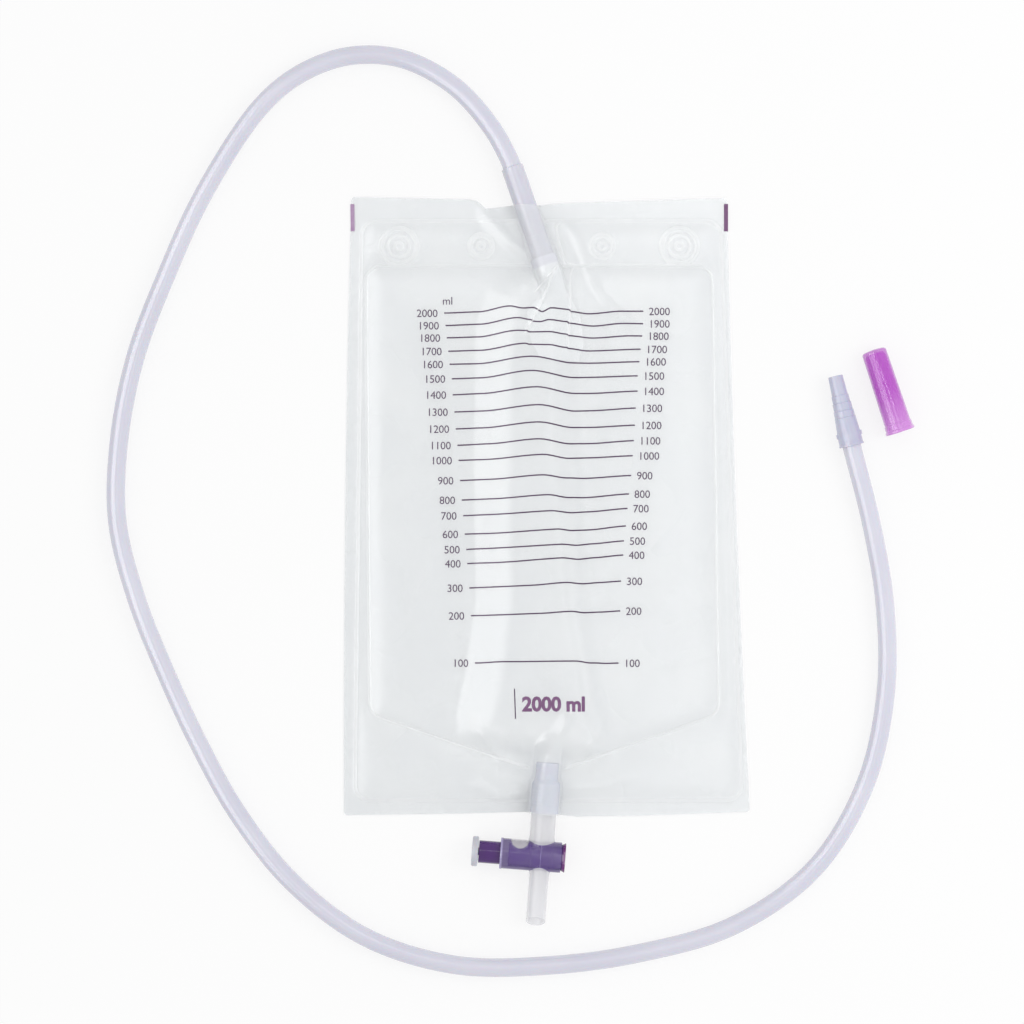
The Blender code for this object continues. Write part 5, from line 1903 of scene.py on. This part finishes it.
@dataclass
class DrainageTube:
    """The long soft tube, from inside the inlet sleeve to inside the step connector."""

    form: BagForm
    diameter: float = 0.0100
    insertion: float = 0.0270
    lead_out: float = 0.0030
    rest_height: float = 0.00505
    sleeve_lift: float = 0.7
    connector_lift: float = 0.6
    lifted_points: int = 2
    socket: float = 0.0147
    step: float = 0.0040
    bevel_steps: int = 7
    connector_place: Span = (0.1633, 0.0325)
    connector_radius: float = 0.0068
    connector_lean: float = math.radians(13.3)
    route: Points = field(default_factory=lambda: [
        (-0.0293, 0.2024), (-0.0497, 0.2253), (-0.0778, 0.2401), (-0.1061, 0.2416),
        (-0.1319, 0.2323), (-0.1534, 0.2147), (-0.1837, 0.1687), (-0.2047, 0.1231),
        (-0.2209, 0.0798), (-0.2295, 0.0361), (-0.2306, -0.0073), (-0.2205, -0.0488),
        (-0.2053, -0.0874), (-0.1878, -0.1253), (-0.1664, -0.1640), (-0.1372, -0.2011),
        (-0.0979, -0.2308), (-0.0503, -0.2458), (-0.0002, -0.2463), (0.0502, -0.2395),
        (0.1003, -0.2247), (0.1432, -0.1944), (0.1705, -0.1495), (0.1817, -0.0994),
        (0.1810, -0.0511), (0.1734, -0.0072),
    ])

    def centreline(self) -> list[Vector]:
        """Draw the tube's middle line.

        Returns:
            Points along it, from inside the sleeve to inside the connector.
        """
        inlet = self.form.inlet

        def on_sleeve(distance: float) -> Vector:
            """Return the point of the sleeve's axis at a distance from its mouth."""
            place = inlet.mouth + inlet.direction * distance
            return Vector((place.x, place.y, inlet.axis_z))

        base = Vector((*self.connector_place, self.connector_radius))
        lead = Vector((-math.sin(self.connector_lean), math.cos(self.connector_lean), 0.0))
        points = [on_sleeve(0.0), on_sleeve(-self.lead_out)]
        drop, rise = inlet.axis_z - self.rest_height, base.z - self.rest_height
        last = len(self.route) - 1
        for index, (x, y) in enumerate(self.route):
            height = self.rest_height
            height += self.sleeve_lift * drop * max(1 - index / self.lifted_points, 0.0)
            height += self.connector_lift * rise * max(1 - (last - index) / self.lifted_points, 0.0)
            points.append(Vector((x, y, height)))
        points += [base - lead * self.lead_out, base]
        inside = [on_sleeve(self.insertion), on_sleeve(self.insertion / 2)]
        return inside + smooth_curve(points, self.step) + [base + lead * self.socket]

    def build(self) -> None:
        points = self.centreline()
        curve = bpy.data.curves.new("drainage_tube_vinyl", "CURVE")
        curve.dimensions = "3D"
        curve.bevel_depth = self.diameter / 2
        curve.bevel_resolution = self.bevel_steps
        curve.use_fill_caps = True
        spline = curve.splines.new("POLY")
        spline.points.add(len(points) - 1)
        for spot, point in zip(spline.points, points):
            spot.co = (*point, 1.0)
        spline.use_smooth = True
        curve.materials.append(TUBE_VINYL.material())
        tube = bpy.data.objects.new("drainage_tube_vinyl", curve)
        bpy.context.scene.collection.objects.link(tube)
        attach(tube, Body.BAG.value)
        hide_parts("drainage_tube")


@dataclass
class Mouldings:
    """The rigid mouldings, which keep their solids and get their finishes."""

    finishes: tuple[tuple[str, MouldedFinish | CapFinish | TapFinish | PlungerFinish], ...] = (
        ("step_connector", CONNECTOR_PLASTIC),
        ("connector_cap", CAP_PLASTIC),
        ("tap_body", TAP_PLASTIC),
        ("tap_plunger", PLUNGER_PLASTIC),
        ("plunger_end_disc", DISC_PLASTIC),
    )

    def dress(self) -> None:
        """Give each moulding its finish, and shade its facets smooth."""
        smoother = facet_smoother()
        for name, finish in self.finishes:
            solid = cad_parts[name]
            solid.data.materials.clear()
            solid.data.materials.append(finish.material())
            solid.modifiers.new("smooth_facets", "NODES").node_group = smoother
            LOG.info("%s dressed", name)


@dataclass
class Lamp:
    """A rectangular lamp that points at the bag, and either shades it or shines in its gloss."""

    name: str
    place: tuple[float, float, float]
    size: tuple[float, float]
    power: float
    shines: bool = False

    def build(self) -> None:
        """Build the lamp."""
        light = bpy.data.lights.new(self.name, "AREA")
        light.shape = "RECTANGLE"
        light.size, light.size_y = self.size
        light.energy = self.power
        lamp = bpy.data.objects.new(self.name, light)
        lamp.location = self.place
        lamp.rotation_euler = (-Vector(self.place)).to_track_quat("-Z", "Y").to_euler()
        lamp.visible_diffuse = not self.shines
        lamp.visible_glossy = self.shines
        lamp.visible_transmission = False
        bpy.context.scene.collection.objects.link(lamp)


@dataclass
class Studio:
    """The pale floor, the lamps, the surrounding light and the camera over the bag."""

    view_centre: Span = (-0.0188, -0.0030)
    view_width: float = 0.5505
    sensor_width: float = 36.0
    camera_height: float = 2.2
    floor_size: float = 6.0
    floor_z: float = -0.0003
    floor_mottle: Span = (3.0, 3.0)
    floor_tints: Span = (0.93, 0.95)
    floor_roughness: float = 0.8
    floor_shadow: float = 0.22
    ambient: float = 0.86
    lamps: tuple[Lamp, ...] = (
        Lamp("key", (0.95, 0.10, 1.00), (0.7, 0.7), 3.5),
        Lamp("left_strip", (-1.0, 0.0, 0.75), (2.4, 0.40), 12.0, shines=True),
        Lamp("left_sheet", (-0.85, 0.0, 1.55), (1.8, 0.80), 17.0, shines=True),
        Lamp("right_sheet", (0.23, 0.0, 1.5), (1.0, 0.30), 1.7, shines=True),
        Lamp("top_strip", (0.0, 0.36, 1.5), (1.2, 0.03), 1.2, shines=True),
    )

    def floor(self) -> None:
        """Build the floor, which shows white and keeps the object's shadow."""
        half = self.floor_size / 2
        corners = [(x, y, self.floor_z) for x, y in (
            (-half, -half), (half, -half), (half, half), (-half, half))]
        mesh = bpy.data.meshes.new("floor")
        mesh.from_pydata(corners, [], [(0, 1, 2, 3)])
        graph = NodeGraph("floor")
        low, high = ((tint,) * 3 for tint in self.floor_tints)
        graph.feed("Base Color", graph.mottle(*self.floor_mottle, low, high))
        graph.set("Roughness", self.floor_roughness)
        graph.set("Specular IOR Level", 0.0)
        glow = graph.node("ShaderNodeEmission", {"Strength": 1.0})
        share = graph.calculate("MULTIPLY", shown_rays(graph.tree), 1 - self.floor_shadow)
        mix = graph.node("ShaderNodeMixShader", {
            0: share, 1: graph.shader.outputs[0], 2: glow.outputs[0]})
        graph.link(mix.outputs[0], graph.tree.nodes["Material Output"].inputs["Surface"])
        mesh.materials.append(graph.material)
        plane = bpy.data.objects.new("floor", mesh)
        bpy.context.scene.collection.objects.link(plane)

    def surroundings(self) -> None:
        """Light the scene evenly from all round, in front of a white background."""
        world = bpy.data.worlds.new("studio")
        world.use_nodes = True
        tree = world.node_tree
        background = tree.nodes["Background"]
        background.inputs["Color"].default_value = (1.0, 1.0, 1.0, 1.0)
        strength = tree.nodes.new("ShaderNodeMath")
        strength.operation = "MULTIPLY_ADD"
        tree.links.new(shown_rays(tree), strength.inputs[0])
        strength.inputs[1].default_value = 1 - self.ambient
        strength.inputs[2].default_value = self.ambient
        tree.links.new(strength.outputs[0], background.inputs["Strength"])
        bpy.context.scene.world = world

    def camera(self) -> None:
        """Hang the camera straight over the bag."""
        data = bpy.data.cameras.new("camera")
        data.sensor_width = self.sensor_width
        data.lens = data.sensor_width * self.camera_height / self.view_width
        camera = bpy.data.objects.new("camera", data)
        camera.location = (*self.view_centre, self.camera_height)
        bpy.context.scene.collection.objects.link(camera)
        bpy.context.scene.camera = camera

    def build(self) -> None:
        """Build the whole studio."""
        bpy.context.scene.view_settings.view_transform = "Standard"
        self.floor()
        self.surroundings()
        for lamp in self.lamps:
            lamp.build()
        self.camera()
        LOG.info("studio ready")


def main() -> None:
    """Build every piece of the bag, and the studio round it."""
    logging.basicConfig(level=logging.INFO, format="%(name)s: %(message)s")
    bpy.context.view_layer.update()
    form = BagForm()
    Studio().build()
    DrainageTube(form).build()
    surface = FilmSheets(form).build()
    ScalePrint(surface).build()
    FlutterValve(form).build()
    InletSleeve(form).build()
    OutletSleeve(form).build()
    Mouldings().dress()


if __name__ == "__main__":
    main()
